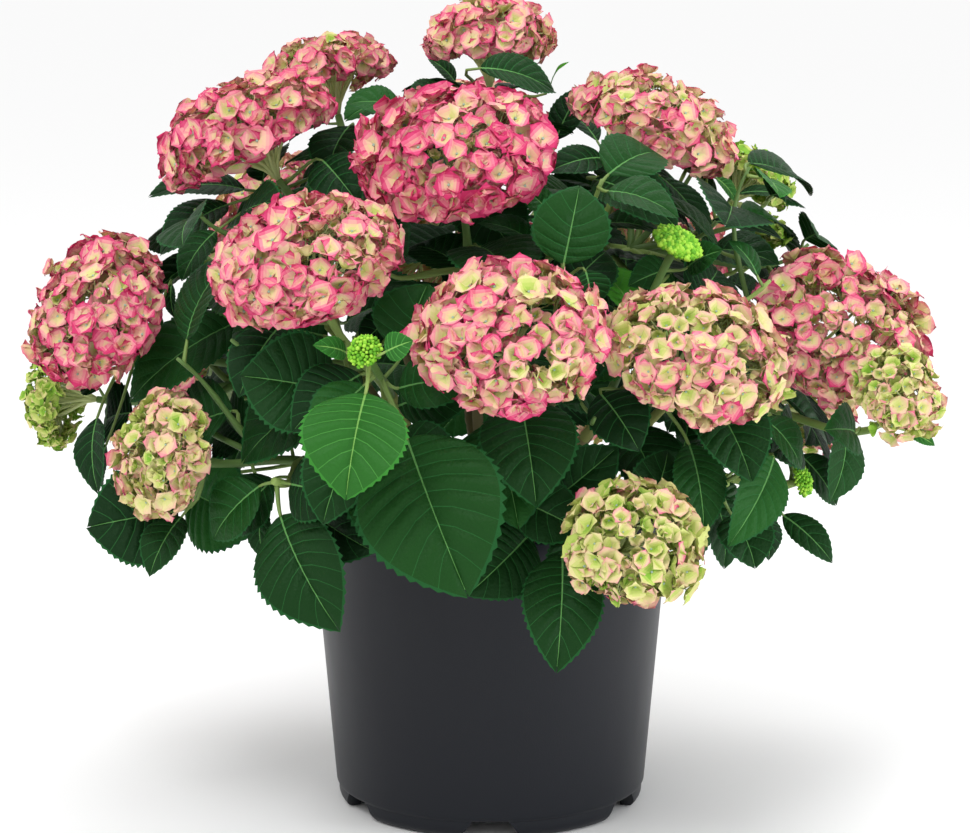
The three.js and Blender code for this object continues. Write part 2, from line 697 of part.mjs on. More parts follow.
// Points over the blade, and points along its petiole.
function leafSamples(leaf) {
  const { stations, tip } = bladePoints(leaf);
  const points = [];
  let [left, middle, right] = [leaf.base, leaf.base, leaf.base];
  for (const s of [...stations, { left: tip, middle: tip, right: tip }]) {
    points.push(...overTriangle(left, middle, s.middle), ...overTriangle(left, s.middle, s.left));
    points.push(...overTriangle(right, middle, s.middle), ...overTriangle(right, s.middle, s.right));
    [left, middle, right] = [s.left, s.middle, s.right];
  }
  const n = Math.ceil(leaf.root.distanceTo(leaf.base) / CELL);
  const petiole = Array.from({ length: n }, (_, i) => leaf.root.clone().lerp(leaf.base, i / n));
  return { blade: points, petiole };
}

// Whether a leaf has room. Its petiole may pass what its own mass has taken.
function hasRoom(leaf, owner) {
  const { blade, petiole } = leafSamples(leaf);
  return isOpen(blade) && isOpen(petiole, owner);
}

function takeLeaf(leaf, owner) {
  const { blade, petiole } = leafSamples(leaf);
  take([...blade, ...petiole], owner);
}

// Petiole and blade as one closed body, of rings of four corners.
function leafGeometry(leaf) {
  const { stations, tip } = bladePoints(leaf);
  const start = midrib(leaf, 0);
  const along = leaf.base.clone().sub(leaf.root).normalize();
  const upper = squareTo(leaf.upper, along);
  const ring = (centre, left, normal, radius) => [
    centre.clone().addScaledVector(left, radius),
    centre.clone().addScaledVector(normal, radius),
    centre.clone().addScaledVector(left, -radius),
    centre.clone().addScaledVector(normal, -radius),
  ];
  const radius = LEAF.petioleRadius;
  const half = LEAF.thickness / 2;
  const rings = [
    ring(leaf.root, new THREE.Vector3().crossVectors(upper, along), upper, radius),
    ring(leaf.base, start.left, start.normal, radius),
    ...stations.map((s) => [
      s.left,
      s.middle.clone().addScaledVector(s.normal, half),
      s.right,
      s.middle.clone().addScaledVector(s.normal, -half),
    ]),
  ];
  const triangles = [[0, 2, 1], [0, 3, 2]];
  for (let i = 0; i < rings.length - 1; i++) {
    for (let j = 0; j < 4; j++) {
      const [a, b] = [i * 4 + j, i * 4 + ((j + 1) % 4)];
      // Each face is cut from the midrib out to the margin.
      if (j % 2 === 0) triangles.push([a, b, b + 4], [a, b + 4, a + 4]);
      else triangles.push([a, b, a + 4], [b, b + 4, a + 4]);
    }
  }
  const last = (rings.length - 1) * 4;
  for (let j = 0; j < 4; j++) triangles.push([last + j, last + ((j + 1) % 4), last + 4]);
  return closedGeometry([...rings.flat(), tip], triangles);
}

// A leaf from a point on a stem, with its blade along the crown's surface and its tip hanging.
function spreadLeaf(root, stemWay, outward, length, width, sag, turn) {
  const upper = facing(root, AXIS.leaves).addScaledVector(UP, 0.2).addScaledVector(stemWay, 0.25);
  upper.normalize();
  const hang = squareTo(UP.clone().negate(), upper);
  const way = squareTo(outward, upper).addScaledVector(hang, sag).normalize();
  const chord = turnAbout(way, upper, turn);
  const petioleWay = outward.clone().addScaledVector(stemWay, 0.5).addScaledVector(chord, 0.6).normalize();
  const base = root.clone().addScaledVector(petioleWay, LEAF.petiole * Math.min(1, length / 90));
  return { root, base, ...startOf(chord, upper), length, width, droop: LEAF.droop, blade: PLAIN_BLADE };
}

// A leaf that is set by the ends of its blade, from the nearest point of its shoot.
function setLeaf(shoot, { base, tip, width }) {
  const foot = vec(base);
  const end = vec(tip);
  const shares = Array.from({ length: 24 }, (_, i) => 0.08 + 0.038 * i);
  const roots = shares.map((share) => stemPoint(shoot, share));
  const root = roots.sort((a, b) => foot.distanceTo(a) - foot.distanceTo(b))[0];
  const chord = end.clone().sub(foot).normalize();
  const outward = facing(end, AXIS.leaves).addScaledVector(UP, 0.3).add(FRONT);
  const upper = squareTo(outward, chord);
  const half = LEAF.droop / 2;
  const length = (foot.distanceTo(end) * half) / Math.sin(half);
  const blade = width > LEAF.fineFrom ? FINE_BLADE : PLAIN_BLADE;
  return { root, base: foot, ...startOf(chord, upper), length, width, droop: LEAF.droop, blade };
}

// The heading and upper side at a blade's base, for a blade that arches over its chord.
function startOf(chord, upper) {
  const half = LEAF.droop / 2;
  const ahead = chord.clone().multiplyScalar(Math.cos(half)).addScaledVector(upper, Math.sin(half));
  return { ahead, upper: squareTo(upper, ahead) };
}

function turnAbout(v, axis, angle) {
  const across = new THREE.Vector3().crossVectors(axis, v);
  return v.clone().multiplyScalar(Math.cos(angle)).addScaledVector(across, Math.sin(angle));
}

// Grows the leaves of one shoot in opposite pairs. Every leaf draws the same count of numbers,
// kept or not.
function growLeaves(shoot, owner, random) {
  const length = shoot.curve.getLength();
  const side = squareTo(new THREE.Vector3(-shoot.face.y, shoot.face.x, 0.01), shoot.face);
  for (let pair = 0; pair < shoot.pairs; pair++) {
    const share = 1 - (LEAF.firstNode + pair * LEAF.nodeSpacing) / length;
    const root = stemPoint(shoot, Math.max(share, 0));
    const stemWay = shoot.curve.getTangent(Math.max(share, 0));
    const heading = THREE.MathUtils.degToRad(shoot.turn) + (pair * Math.PI) / 2;
    for (const half of [0, Math.PI]) {
      const outward = turnAbout(squareTo(side, stemWay), stemWay, heading + half + 0.3 * (random() - 0.5));
      const long = LEAF.lengths[pair] * shoot.big * (0.9 + 0.2 * random());
      const wide = long * LEAF.widthShare * (0.92 + 0.16 * random());
      const sag = 0.25 + 0.35 * random();
      if (share < 0.1) continue;
      const leaf = firstFit(root, stemWay, outward, long, wide, sag, owner);
      if (!leaf) continue;
      takeLeaf(leaf, owner);
      shoot.grown.push(leaf);
    }
  }
}

// The first try, over sizes and turns, that keeps to the open space of the crown.
function firstFit(root, stemWay, outward, long, wide, sag, owner) {
  for (const size of LEAF.sizes) {
    for (const turn of LEAF.turns) {
      const leaf = spreadLeaf(root, stemWay, outward, long * size, wide * size, sag, turn);
      if (leafSamples(leaf).blade.every(inCrown) && hasRoom(leaf, owner)) return leaf;
    }
  }
  return null;
}

// The middle of a shoot's stem, which is straight between its steps.
function stemPoint(shoot, share) {
  const step = Math.floor(share * STEM.steps);
  const start = shoot.curve.getPoint(step / STEM.steps);
  return start.lerp(shoot.curve.getPoint((step + 1) / STEM.steps), share * STEM.steps - step);
}

// Single leaves are set before the others grow, so that they keep their places.
function setLeaves(shoot, owner) {
  for (const row of shoot.leaves ?? []) {
    const leaf = setLeaf(shoot, row);
    if (!hasRoom(leaf, owner)) continue;
    takeLeaf(leaf, owner);
    shoot.grown.push(leaf);
  }
}

// ---------------------------------------------------------------- masses

function budGeometry(shoot, random) {
  const detail = shoot.bud > 20 ? 1 : 0;
  const bare = new THREE.IcosahedronGeometry(1, detail).deleteAttribute("normal").deleteAttribute("uv");
  const ball = mergeVertices(bare, 1e-4);
  const place = ball.attributes.position;
  for (let i = 0; i < place.count; i++) {
    const p = new THREE.Vector3().fromBufferAttribute(place, i).multiplyScalar(0.92 + 0.16 * random());
    place.setXYZ(i, (p.x * shoot.bud) / 2, (p.y * shoot.bud) / 2, (p.z * shoot.bud) / 3);
  }
  return ball.applyMatrix4(headFrame(shoot));
}

// A collar at the cane's tip, the stems that leave it, their leaves and their buds.
function massGeometry(limb, random) {
  const seat = vec(limb.fork).addScaledVector(limb.way, GAP);
  const collar = new THREE.LineCurve3(seat, seat.clone().addScaledVector(limb.way, STEM.collar));
  const bodies = [limbGeometry(collar, CANE.tipRadius, CANE.tipRadius, STEM.sides, 1)];
  for (const shoot of limb.shoots) {
    bodies.push(shoot.main
      ? limbGeometry(shoot.curve, STEM.rootRadius, STEM.neckRadius, STEM.sides, STEM.steps)
      : limbGeometry(shoot.curve, FILL.rootRadius, FILL.tipRadius, FILL.sides, STEM.steps));
    if (shoot.bud) bodies.push(budGeometry(shoot, random));
    bodies.push(...shoot.grown.map(leafGeometry));
  }
  return fuse(bodies);
}

function growCrown() {
  const limbs = planLimbs();
  for (const limb of limbs) {
    take(alongCurve(limb.curve, 0, CANE.footRadius), HEAD_OR_CANE);
    for (const shoot of limb.shoots) {
      take(alongCurve(shoot.curve, 0, STEM.rootRadius), limb.owner);
      if (shoot.across) take(throughHead(shoot), HEAD_OR_CANE);
      else take(throughBud(shoot), limb.owner);
    }
  }
  for (const limb of limbs) for (const shoot of limb.shoots) setLeaves(shoot, limb.owner);
  fillCrown(limbs);
  const random = seeded(SEEDS.leaves);
  for (const limb of limbs) for (const shoot of limb.shoots) growLeaves(shoot, limb.owner, random);
  return limbs;
}

function buildCrown() {
  const random = seeded(SEEDS.heads);
  const meshes = [];
  for (const limb of growCrown()) {
    const cane = limbGeometry(limb.curve, CANE.footRadius, CANE.tipRadius, CANE.sides, CANE.steps);
    meshes.push(makeMesh(`cane_${limb.name}`, cane, COLOUR.cane, 0.8));
    meshes.push(makeMesh(`leaves_${limb.name}`, massGeometry(limb, random), COLOUR.leaf, 0.55));
    for (const shoot of limb.shoots.filter((s) => s.across)) {
      const colour = shoot.across < 90 ? COLOUR.green : COLOUR.pink;
      meshes.push(makeMesh(`bloom_${shoot.name}`, headGeometry(shoot, random), colour, 0.7));
    }
  }
  return meshes;
}

// ---------------------------------------------------------------- the plant

const plant = new THREE.Group();
plant.add(makeMesh("pot", potGeometry(), COLOUR.pot, 0.5));
plant.add(makeMesh("soil", soilGeometry(), COLOUR.soil, 1));
plant.add(...buildCrown());

export default plant;
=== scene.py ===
"""A mophead hydrangea in a nursery pot: its leaves, florets, stems, soil and pot, in metres.

The crown grows by the same rule as the solids that it replaces, then finer leaves grow between.
Everything is planned in millimetres and becomes metres when a piece is built.
"""

import math

import bpy
import numpy as np
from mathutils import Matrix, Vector


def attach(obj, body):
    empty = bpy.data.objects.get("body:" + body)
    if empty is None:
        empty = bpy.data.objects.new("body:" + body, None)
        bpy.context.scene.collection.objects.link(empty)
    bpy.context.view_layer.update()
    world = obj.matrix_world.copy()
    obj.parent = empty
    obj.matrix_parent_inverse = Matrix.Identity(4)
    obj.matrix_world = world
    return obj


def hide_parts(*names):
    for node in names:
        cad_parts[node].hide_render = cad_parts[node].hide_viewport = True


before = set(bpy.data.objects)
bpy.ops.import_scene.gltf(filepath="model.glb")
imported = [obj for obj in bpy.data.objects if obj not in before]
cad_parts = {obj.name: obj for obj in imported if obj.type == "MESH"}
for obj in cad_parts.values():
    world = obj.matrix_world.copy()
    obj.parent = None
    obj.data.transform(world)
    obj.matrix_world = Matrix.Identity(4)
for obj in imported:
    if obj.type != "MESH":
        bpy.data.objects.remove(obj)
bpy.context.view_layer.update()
MM = 0.001
GOLDEN = math.pi * (3 - math.sqrt(5))  # the turn between neighbours that spreads places evenly
ROUND = 2 * math.pi

# ---------------------------------------------------------------- the plant's plan, in millimetres

GAP = 0.3
SOIL_LEVEL = 218
POT_HEIGHT = 241
POT_RIM = 145.5

CANE = dict(foot=5.4, tip=4.2)
STEM = dict(root=4.0, neck=3.1, steps=4, collar=8)
HEAD = dict(thickness=0.55, dome=0.64, lump=0.045, neck_drop=13, bud_drop=0.15, outlook=84)
AXIS = dict(shoots=180, leaves=270)  # heights on the axis that shoots and leaves face away from
LEAF = dict(petiole=22, first_node=7, node_spacing=34, lengths=(84, 104, 116, 116, 104), wide=0.78,
            droop=0.8, fold=0.2, turns=(0, 0.4, -0.4, 0.8, -0.8, 1.2, -1.2), sizes=(1, 0.8),
            fine_from=58, first_root=0.08, root_step=0.038, roots=24)
FINE_BLADE = ((0.14, 0.66), (0.46, 1.0), (0.8, 0.58))
PLAIN_BLADE = ((0.26, 0.9), (0.7, 0.82))
CROWN = dict(centre=385, half_width=352, half_depth=306, half_height=240, lowest=176, shoulder=1.4,
             top_place=0.86, places_down=1.56)
FILL = dict(places=120, depth=0.8, head_room=14, tip_room=84, branching=0.3, longest=260, pairs=3,
            turn=53, big=0.9, root=3.4, tip=1.4, most=19)
# Finer growth: side shoots by depth in the crown, most of them and room at the tip, and then more
# leaves on every shoot by turn, pairs and size.
FINER_FILL = dict(places=110, big=0.72, passes=((0.78, 16, 52), (0.62, 22, 46), (0.44, 16, 42)))
FINER_LEAVES = ((45, 4, 0.56), (20, 5, 0.4))
SEEDS = dict(leaves=41, finer=97, looks=3, soil=11)


def cane(name, foot, fork, *shoots):
    """A cane from its foot on the soil to its fork, and the shoots that it ends in."""
    return dict(name=name, foot=foot, fork=fork, shoots=shoots)


def head(name, at, across, lean, swing, pairs, turn, big, *leaves):
    """A shoot with a flower head: its centre and width, the height that it faces in degrees, and its
    swing to the left. Then come the count of its pairs of leaves, the first pair's heading and the
    leaves' size, and the leaves that are set one by one."""
    return dict(name=name, at=at, across=across, lean=lean, swing=swing, bud=0, pairs=pairs, turn=turn,
                big=big, leaves=leaves)


def bud(name, at, size, pairs, turn, big, *leaves):
    return dict(name=name, at=at, across=0, bud=size, pairs=pairs, turn=turn, big=big, leaves=leaves)


# A leaf that is set has the two ends of its blade, its width, and its tone from 0, old and dark, to 6,
# young and bright.
CANES = [
    cane("top", (4, 12), (2, 26, 440),
         head("top", (-1, 40, 608), 116, 84, 0, 3, 10, 0.8,
             ((-8, -42, 593), (51, -22, 572), 40, 1), ((-34, 0, 572), (-64, -20, 569), 29, 0),
             ((48, 28, 574), (62, 10, 595), 10, 5)),
         bud("top_sprig", (-84, 34, 540), 10, 2, 40, 0.62,
             ((-74, 50, 561), (-116, 24, 547), 44, 3))),
    cane("upper_left", (-34, 16), (-88, 34, 415),
         head("upper_left", (-188, -10, 538), 138, 58, 0, 3, 30, 0.92,
             ((-131, -30, 521), (-101, -60, 489), 47, 0), ((-208, 10, 482), (-261, -10, 443), 48, 0),
             ((-214, -36, 466), (-240, -48, 428), 35, 1)),
         head("upper_left_back", (-134, 112, 578), 110, 70, 0, 3, 65, 0.85,
             ((-200, 82, 486), (-277, 56, 483), 40, 0), ((-113, 46, 541), (-130, 10, 502), 47, 0))),
    cane("centre_top", (-8, -26), (-14, -66, 405),
         head("centre_top", (-27, -120, 532), 150, 56, 0, 3, 45, 0.92,
             ((-16, -18, 489), (19, -62, 449), 62, 1)),
         bud("centre_sprig", (56, -176, 452), 14, 2, 90, 0.6,
             ((53, -186, 460), (65, -166, 516), 58, 2), ((69, -186, 455), (74, -184, 427), 31, 1),
             ((45, -112, 488), (25, -98, 505), 23, 3))),
    cane("upper_right", (36, 10), (72, 14, 420),
         head("upper_right", (125, -10, 543), 132, 62, 0, 3, 20, 0.9,
             ((86, -66, 526), (41, -96, 517), 29, 0), ((79, -70, 510), (141, -110, 477), 52, 1),
             ((123, 18, 502), (122, 4, 467), 36, 2), ((136, 46, 501), (180, 36, 438), 32, 1)),
         head("right_back", (214, 104, 494), 74, 50, 0, 3, 75, 0.8,
             ((174, 10, 445), (228, -12, 436), 46, 1), ((179, 56, 463), (237, 46, 449), 19, 0),
             ((201, 62, 485), (241, 52, 483), 15, 1))),
    cane("left", (-62, 2), (-150, -8, 335),
         head("left", (-304, -60, 406), 124, 32, 38, 3, 15, 0.92,
             ((-195, -48, 397), (-282, -62, 335), 62, 2), ((-306, -66, 324), (-303, -90, 268), 34, 0),
             ((-187, -60, 401), (-212, -70, 411), 20, 5)),
         head("left_low", (-350, 56, 322), 84, 8, 0, 2, 50, 0.85)),
    cane("centre_left", (-34, -36), (-74, -112, 345),
         head("centre_left", (-133, -200, 461), 144, 58, 0, 3, 70, 0.9,
             ((-112, -202, 368), (-184, -192, 378), 76, 1),
             ((-158, -156, 408), (-186, -184, 360), 46, 0)),
         bud("front_bud", (-88, -286, 411), 24, 1, 95, 0.5,
             ((-88, -291, 382), (-101, -322, 312), 76, 4), ((-60, -250, 342), (-16, -292, 235), 108, 2),
             ((-64, -206, 398), (-46, -188, 446), 60, 2), ((-103, -264, 407), (-125, -290, 416), 17, 4),
             ((-74, -301, 413), (-54, -306, 422), 21, 4))),
    cane("centre", (4, -58), (10, -142, 325),
         head("centre", (15, -270, 420), 138, 34, 0, 3, 40, 0.85,
             ((28, -206, 262), (-18, -232, 222), 60, 1))),
    cane("centre_right", (40, -38), (84, -104, 335),
         head("centre_right", (147, -220, 398), 134, 40, 0, 3, 60, 0.88,
             ((163, -182, 357), (190, -220, 304), 60, 1), ((80, -200, 366), (108, -222, 327), 48, 0),
             ((146, -186, 326), (156, -214, 264), 42, 2)),
         bud("right_bud", (140, -150, 474), 36, 1, 20, 0.6,
             ((137, -88, 443), (103, -118, 434), 30, 2), ((148, -122, 449), (173, -144, 465), 27, 2))),
    cane("right", (64, -8), (142, -20, 330),
         head("right", (270, -60, 390), 138, 36, -38, 3, 35, 0.88,
             ((278, -48, 314), (264, -74, 258), 40, 2)),
         head("right_low", (303, -165, 361), 72, 45, -45, 1, 80, 0.5)),
    cane("lower_right", (30, -66), (66, -150, 286),
         head("lower_right", (101, -268, 271), 108, 28, 0, 1, 25, 0.8,
             ((52, -224, 251), (47, -266, 173), 60, 1), ((36, -188, 276), (94, -194, 326), 56, 1),
             ((116, -200, 278), (131, -182, 321), 48, 1))),
    cane("lower_left", (-58, -34), (-140, -92, 292),
         head("lower_left", (-244, -150, 311), 102, 15, 0, 1, 60, 0.8,
             ((-241, -96, 256), (-312, -100, 244), 78, 0)),
         bud("left_skirt", (-162, -182, 298), 10, 2, 5, 0.75,
             ((-156, -186, 272), (-110, -230, 194), 72, 1), ((-235, -78, 269), (-171, -110, 251), 75, 3))),
    cane("right_skirt", (62, -34), (134, -78, 284),
         bud("low_bud", (239, -92, 279), 24, 1, 70, 0.6,
             ((226, -92, 252), (264, -106, 217), 27, 1), ((208, -110, 257), (214, -110, 220), 24, 0)),
         bud("right_skirt", (178, -160, 292), 10, 1, 30, 0.8,
             ((210, -176, 314), (173, -220, 256), 42, 3), ((182, -148, 264), (198, -172, 228), 48, 1))),
    cane("back_left", (-52, 44), (-118, 108, 345),
         head("back_left", (-172, 208, 448), 140, 48, 0, 3, 45, 0.92),
         head("back_low_left", (-226, 226, 306), 120, 22, 0, 3, 10, 0.9)),
    cane("back_top", (4, 42), (14, 98, 405),
         head("back_top", (-14, 176, 520), 134, 62, 0, 3, 0, 0.92)),
    cane("back_centre", (-10, 70), (-24, 152, 335),
         head("back_centre", (-30, 286, 410), 146, 40, 0, 3, 80, 0.92),
         head("back_low_centre", (52, 306, 276), 116, 20, 0, 2, 30, 0.9)),
    cane("back_right", (54, 42), (124, 104, 335),
         head("back_right", (138, 230, 424), 136, 46, 0, 3, 55, 0.92),
         head("back_low_right", (258, 168, 306), 118, 22, 0, 3, 15, 0.9)),
]

# What each head looks like. blush is how pink it is, from 0 to 1, reach the length of a sepal,
# spacing the distance between the outer florets, loose how far they stand apart in depth, deep the
# share of florets in a third layer, strays how many hang out from the rim, size the head's stretch in
# width and height, and lobe the place of a second, smaller dome.
LOOKS = {
    "top": dict(blush=0.66, reach=11.5, spacing=15, size=(0.87, 0.84)),
    "upper_left_back": dict(blush=0.66, reach=11.5, spacing=15, size=(0.94, 0.8)),
    "upper_left": dict(blush=0.8, reach=13, spacing=16, size=(1.06, 0.9)),
    "centre_top": dict(blush=0.93, reach=14.5, spacing=17, size=(0.94, 0.83)),
    "upper_right": dict(blush=0.66, reach=12.5, spacing=15.5, size=(0.99, 0.86)),
    "left": dict(blush=0.82, reach=12.5, spacing=15.5, deep=0.6, size=(0.94, 0.97)),
    "centre_left": dict(blush=0.76, reach=13.5, spacing=16, size=(0.94, 0.84)),
    "centre": dict(blush=0.7, reach=14, spacing=16.5, size=(0.94, 0.78)),
    "centre_right": dict(blush=0.52, reach=12.5, spacing=15.5, loose=0.5, strays=9, size=(1.08, 0.8)),
    "right": dict(blush=0.72, reach=12.5, spacing=15.5, loose=0.2, strays=5, deep=0.7, size=(1.1, 0.95)),
    "right_low": dict(blush=0.34, reach=9.5, spacing=12, loose=0.7, strays=8, size=(0.86, 1.05)),
    "lower_right": dict(blush=0.3, reach=11.5, spacing=14.5, loose=0.8, strays=12, size=(0.94, 0.78)),
    "lower_left": dict(blush=0.4, reach=10.5, spacing=13.5, loose=0.8, strays=9, size=(1, 0.88)),
    "left_low": dict(blush=0.04, reach=7.5, spacing=10.5, loose=1, strays=16, size=(1, 1.1)),
    "right_back": dict(blush=0.0, reach=7.5, spacing=10.5, loose=0.6, strays=6, lobe=(10, -6, -42)),
    "back_low_right": dict(blush=0.5, reach=11.5, spacing=15, loose=0.6, strays=5),
    "back_low_centre": dict(blush=0.45, reach=11, spacing=14.5, loose=0.6, strays=6),
}
PLAIN_HEAD = dict(blush=0.76, reach=13.5, spacing=17)

# Small leaves that show between the heads, by shoot, written as the leaves that are set.
SMALL_LEAVES = {
    "top": [((53, 72, 528), (75, 96, 568), 28, 0), ((-29, 96, 573), (-51, 96, 592), 20, 1)],
    "top_sprig": [((-70, 6, 559), (-112, 6, 562), 33, 3)],
    "upper_right": [((87, 76, 526), (59, 116, 547), 23, 0)],
    "right_back": [((181, 44, 500), (198, 44, 479), 18, 4)],
    "left": [((-300, -60, 302), (-304, -60, 266), 16, 0), ((-251, -20, 423), (-248, -20, 394), 14, 0)],
    "centre_left": [((-73, -120, 412), (-99, -108, 384), 29, 0)],
    "lower_left": [
        ((-236, -120, 257), (-259, -144, 215), 38, 1),
        ((-174, -132, 270), (-173, -132, 226), 23, 1),
    ],
    "low_bud": [((242, -60, 293), (272, -48, 250), 30, 1)],
    "right_low": [((315, -120, 324), (338, -120, 312), 12, 4)],
}


# ---------------------------------------------------------------- vectors, curves and numbers

UP = np.array((0.0, 0.0, 1.0))
FRONT = np.array((0.0, -0.9, 0.0))  # how far set leaves turn to the plant's front


def vec(p):
    return np.array(p, float)


def unit(v):
    return v / np.sqrt(v @ v)


def square_to(v, n):
    """The part of v that is square to the unit vector n, at unit length."""
    return unit(v - n * (v @ n))


def turn_about(v, axis, angle):
    """v turned about an axis that is square to it."""
    return v * math.cos(angle) + np.cross(axis, v) * math.sin(angle)


def distance(a, b):
    return math.sqrt(((a - b) ** 2).sum())


def seeded(seed):
    """A repeatable stream of numbers from 0 to 1."""
    state = seed

    def draw():
        nonlocal state
        state = (state * 1664525 + 1013904223) % 4294967296
        return state / 4294967296

    return draw


class Curve:
    """A cubic Bezier curve that leaves and reaches its ends in given directions."""

    def __init__(self, start, start_way, end, end_way):
        reach = distance(start, end) * 0.38
        self.controls = np.array((start, start + start_way * reach, end - end_way * reach, end))

    def points(self, shares):
        t = np.asarray(shares, float)[:, None]
        k = 1 - t
        a, b, c, d = self.controls
        return k * k * k * a + 3 * k * k * t * b + 3 * k * t * t * c + t * t * t * d

    def tangent(self, share):
        before, after = self.points([max(share - 1e-4, 0), min(share + 1e-4, 1)])
        return unit(after - before)

    def length(self):
        steps = np.diff(self.points(np.arange(201) / 200), axis=0)
        return np.sqrt((steps**2).sum(1)).sum()


# ---------------------------------------------------------------- the growth rule


def facing(at, height):
    """Away from a point on the plant's axis."""
    return unit(at - UP * height)


def leaning(at, lean, swing):
    """Away from the axis, lean degrees above the level and swung to the left by swing degrees."""
    out = unit(vec((at[0], at[1], 0)))
    way = turn_about(out, UP, math.radians(swing))
    return turn_about(way, np.cross(way, UP), math.radians(lean))


def plan_shoot(row, start, way, main=True):
    shoot = dict(row, main=main, at=vec(row["at"]), grown=[])
    if row["across"]:
        shoot["face"] = leaning(shoot["at"], row["lean"], row["swing"])
        below = row["across"] * HEAD["thickness"] * (1 - HEAD["dome"]) + HEAD["neck_drop"]
    else:
        shoot["face"] = facing(shoot["at"], AXIS["shoots"])
        below = row["bud"] * HEAD["bud_drop"]
    shoot["neck"] = shoot["at"] - shoot["face"] * below
    start_way = unit(unit(shoot["neck"] - start) + way * 0.4)
    shoot["curve"] = Curve(start, start_way, shoot["neck"], shoot["face"])
    return shoot


def plan_limbs():
    limbs = []
    for i, cane in enumerate(CANES):
        foot = vec((*cane["foot"], SOIL_LEVEL + GAP))
        fork = vec(cane["fork"])
        way = unit(unit(fork - foot) + facing(fork, AXIS["shoots"]) * 0.6)
        start = fork + way * (GAP + STEM["collar"] * 0.6)
        shoots = [plan_shoot(row, start, way) for row in cane["shoots"]]
        curve = Curve(foot, UP, fork, way)
        limbs.append(dict(name=cane["name"], owner=i + 1, fork=fork, way=way, curve=curve, shoots=shoots))
    return limbs


def each_shoot(limbs):
    return [(limb, shoot) for limb in limbs for shoot in limb["shoots"]]


def stem_point(shoot, share):
    """The middle of a shoot's stem, which is straight between its steps."""
    n = STEM["steps"]
    step = math.floor(share * n)
    a, b = shoot["curve"].points([step / n, (step + 1) / n])
    return a + (b - a) * (share * n - step)


def crown_places(depth, count):
    """Places spread evenly over the crown, a little inside its outline."""
    places = []
    for i in range(count):
        up = CROWN["top_place"] - (CROWN["places_down"] * (i + 0.5)) / count
        out = math.sqrt(1 - up * up)
        places.append(vec((out * CROWN["half_width"] * depth * math.cos(i * GOLDEN),
                           out * CROWN["half_depth"] * depth * math.sin(i * GOLDEN),
                           CROWN["centre"] + up * CROWN["half_height"] * depth)))
    return places


def fill_crown(limbs, depth, count, most, tip_room, big):
    """Adds a leafy side shoot at each place that is far enough from the others."""
    added = 0
    for at in crown_places(depth, count):
        parents = each_shoot(limbs)
        rooms = [s["across"] / 2 + FILL["head_room"] if s["across"] else tip_room for _, s in parents]
        crowded = any(distance(at, s["at"]) < room for (_, s), room in zip(parents, rooms))
        if crowded or added >= most:
            continue
        mains = [pair for pair in parents if pair[1]["main"]]
        mains.sort(key=lambda pair: distance(at, stem_point(pair[1], FILL["branching"])))
        for limb, parent in mains[:4]:
            row = bud("", at, 0, FILL["pairs"], FILL["turn"] * added, big)
            start = stem_point(parent, FILL["branching"])
            shoot = plan_shoot(row, start, parent["curve"].tangent(FILL["branching"]), main=False)
            path = along_curve(shoot["curve"], 0.12, STEM["root"])
            if shoot["curve"].length() > FILL["longest"] or not is_open(path, limb["owner"]):
                continue
            take(path, limb["owner"])
            limb["shoots"].append(shoot)
            added += 1
            break


# The book of space: which cells of the crown are taken, so that nothing meets anything else.
CELL = 4
NUDGE = 0.05  # keeps points at whole millimetres off the borders of the cells
BOOK_HALF = 105
BOOK_HEIGHT = 176
HEAD_OR_CANE = 255
taken = np.zeros(4 * BOOK_HALF * BOOK_HALF * BOOK_HEIGHT, np.uint8)
STEPS = (-1, 0, 1)
NEIGHBOURS = [(k * 2 * BOOK_HALF + j) * 2 * BOOK_HALF + i for k in STEPS for j in STEPS for i in STEPS]


def cells_of(points):
    """The cell of each point, or -1 outside the book."""
    i = np.floor((points[:, 0] + NUDGE) / CELL).astype(int) + BOOK_HALF
    j = np.floor((points[:, 1] + NUDGE) / CELL).astype(int) + BOOK_HALF
    k = np.floor((points[:, 2] + NUDGE) / CELL).astype(int)
    side = 2 * BOOK_HALF
    inside = (i > 0) & (j > 0) & (k > 0) & (i < side - 1) & (j < side - 1) & (k < BOOK_HEIGHT - 1)
    return np.where(inside, (k * side + j) * side + i, -1)


def take(points, owner):
    """Takes the cells that hold the points, and their neighbours."""
    cells = cells_of(points)
    cells = np.unique(cells[cells >= 0])
    for step in NEIGHBOURS:
        near = cells + step
        taken[near[taken[near] == 0]] = owner


def is_open(points, owner=0):
    """Whether nothing else is in the way. A limb may pass what its own mass has taken."""
    cells = cells_of(points)
    held = taken[cells]
    in_pot = (points[:, 2] < POT_HEIGHT + 4) & (np.hypot(points[:, 0], points[:, 1]) < POT_RIM + 4)
    return bool(np.all((cells >= 0) & ((held == 0) | (held == owner)) & ~in_pot))


def in_crown(points):
    up = (points[:, 2] - CROWN["centre"]) / CROWN["half_height"]
    out = np.hypot(points[:, 0] / CROWN["half_width"], points[:, 1] / CROWN["half_depth"])
    power = np.where(up > 0, CROWN["shoulder"], 2)
    return bool(np.all((points[:, 2] > CROWN["lowest"]) & (np.abs(up) ** power + out**power < 1)))


def along_curve(curve, first, radius):
    """Points through a limb, from a share of its curve on."""
    centres = curve.points(np.arange(math.floor(first * 48), 49) / 48)
    ways = np.vstack((np.zeros(3), np.eye(3), -np.eye(3)))
    return (centres[:, None] + ways * radius).reshape(-1, 3)


def frame_of(face):
    """The turn that takes +Z to the way something faces, as a matrix of rows."""
    x, y, z = np.cross(UP, face)
    cross = np.array(((0, -z, y), (z, 0, -x), (-y, x, 0)))
    return np.eye(3) + cross + cross @ cross / (1 + face[2])


def head_half(across, z):
    """A head's half height on the side of z."""
    return across * HEAD["thickness"] * np.where(z > 0, HEAD["dome"], 1 - HEAD["dome"])


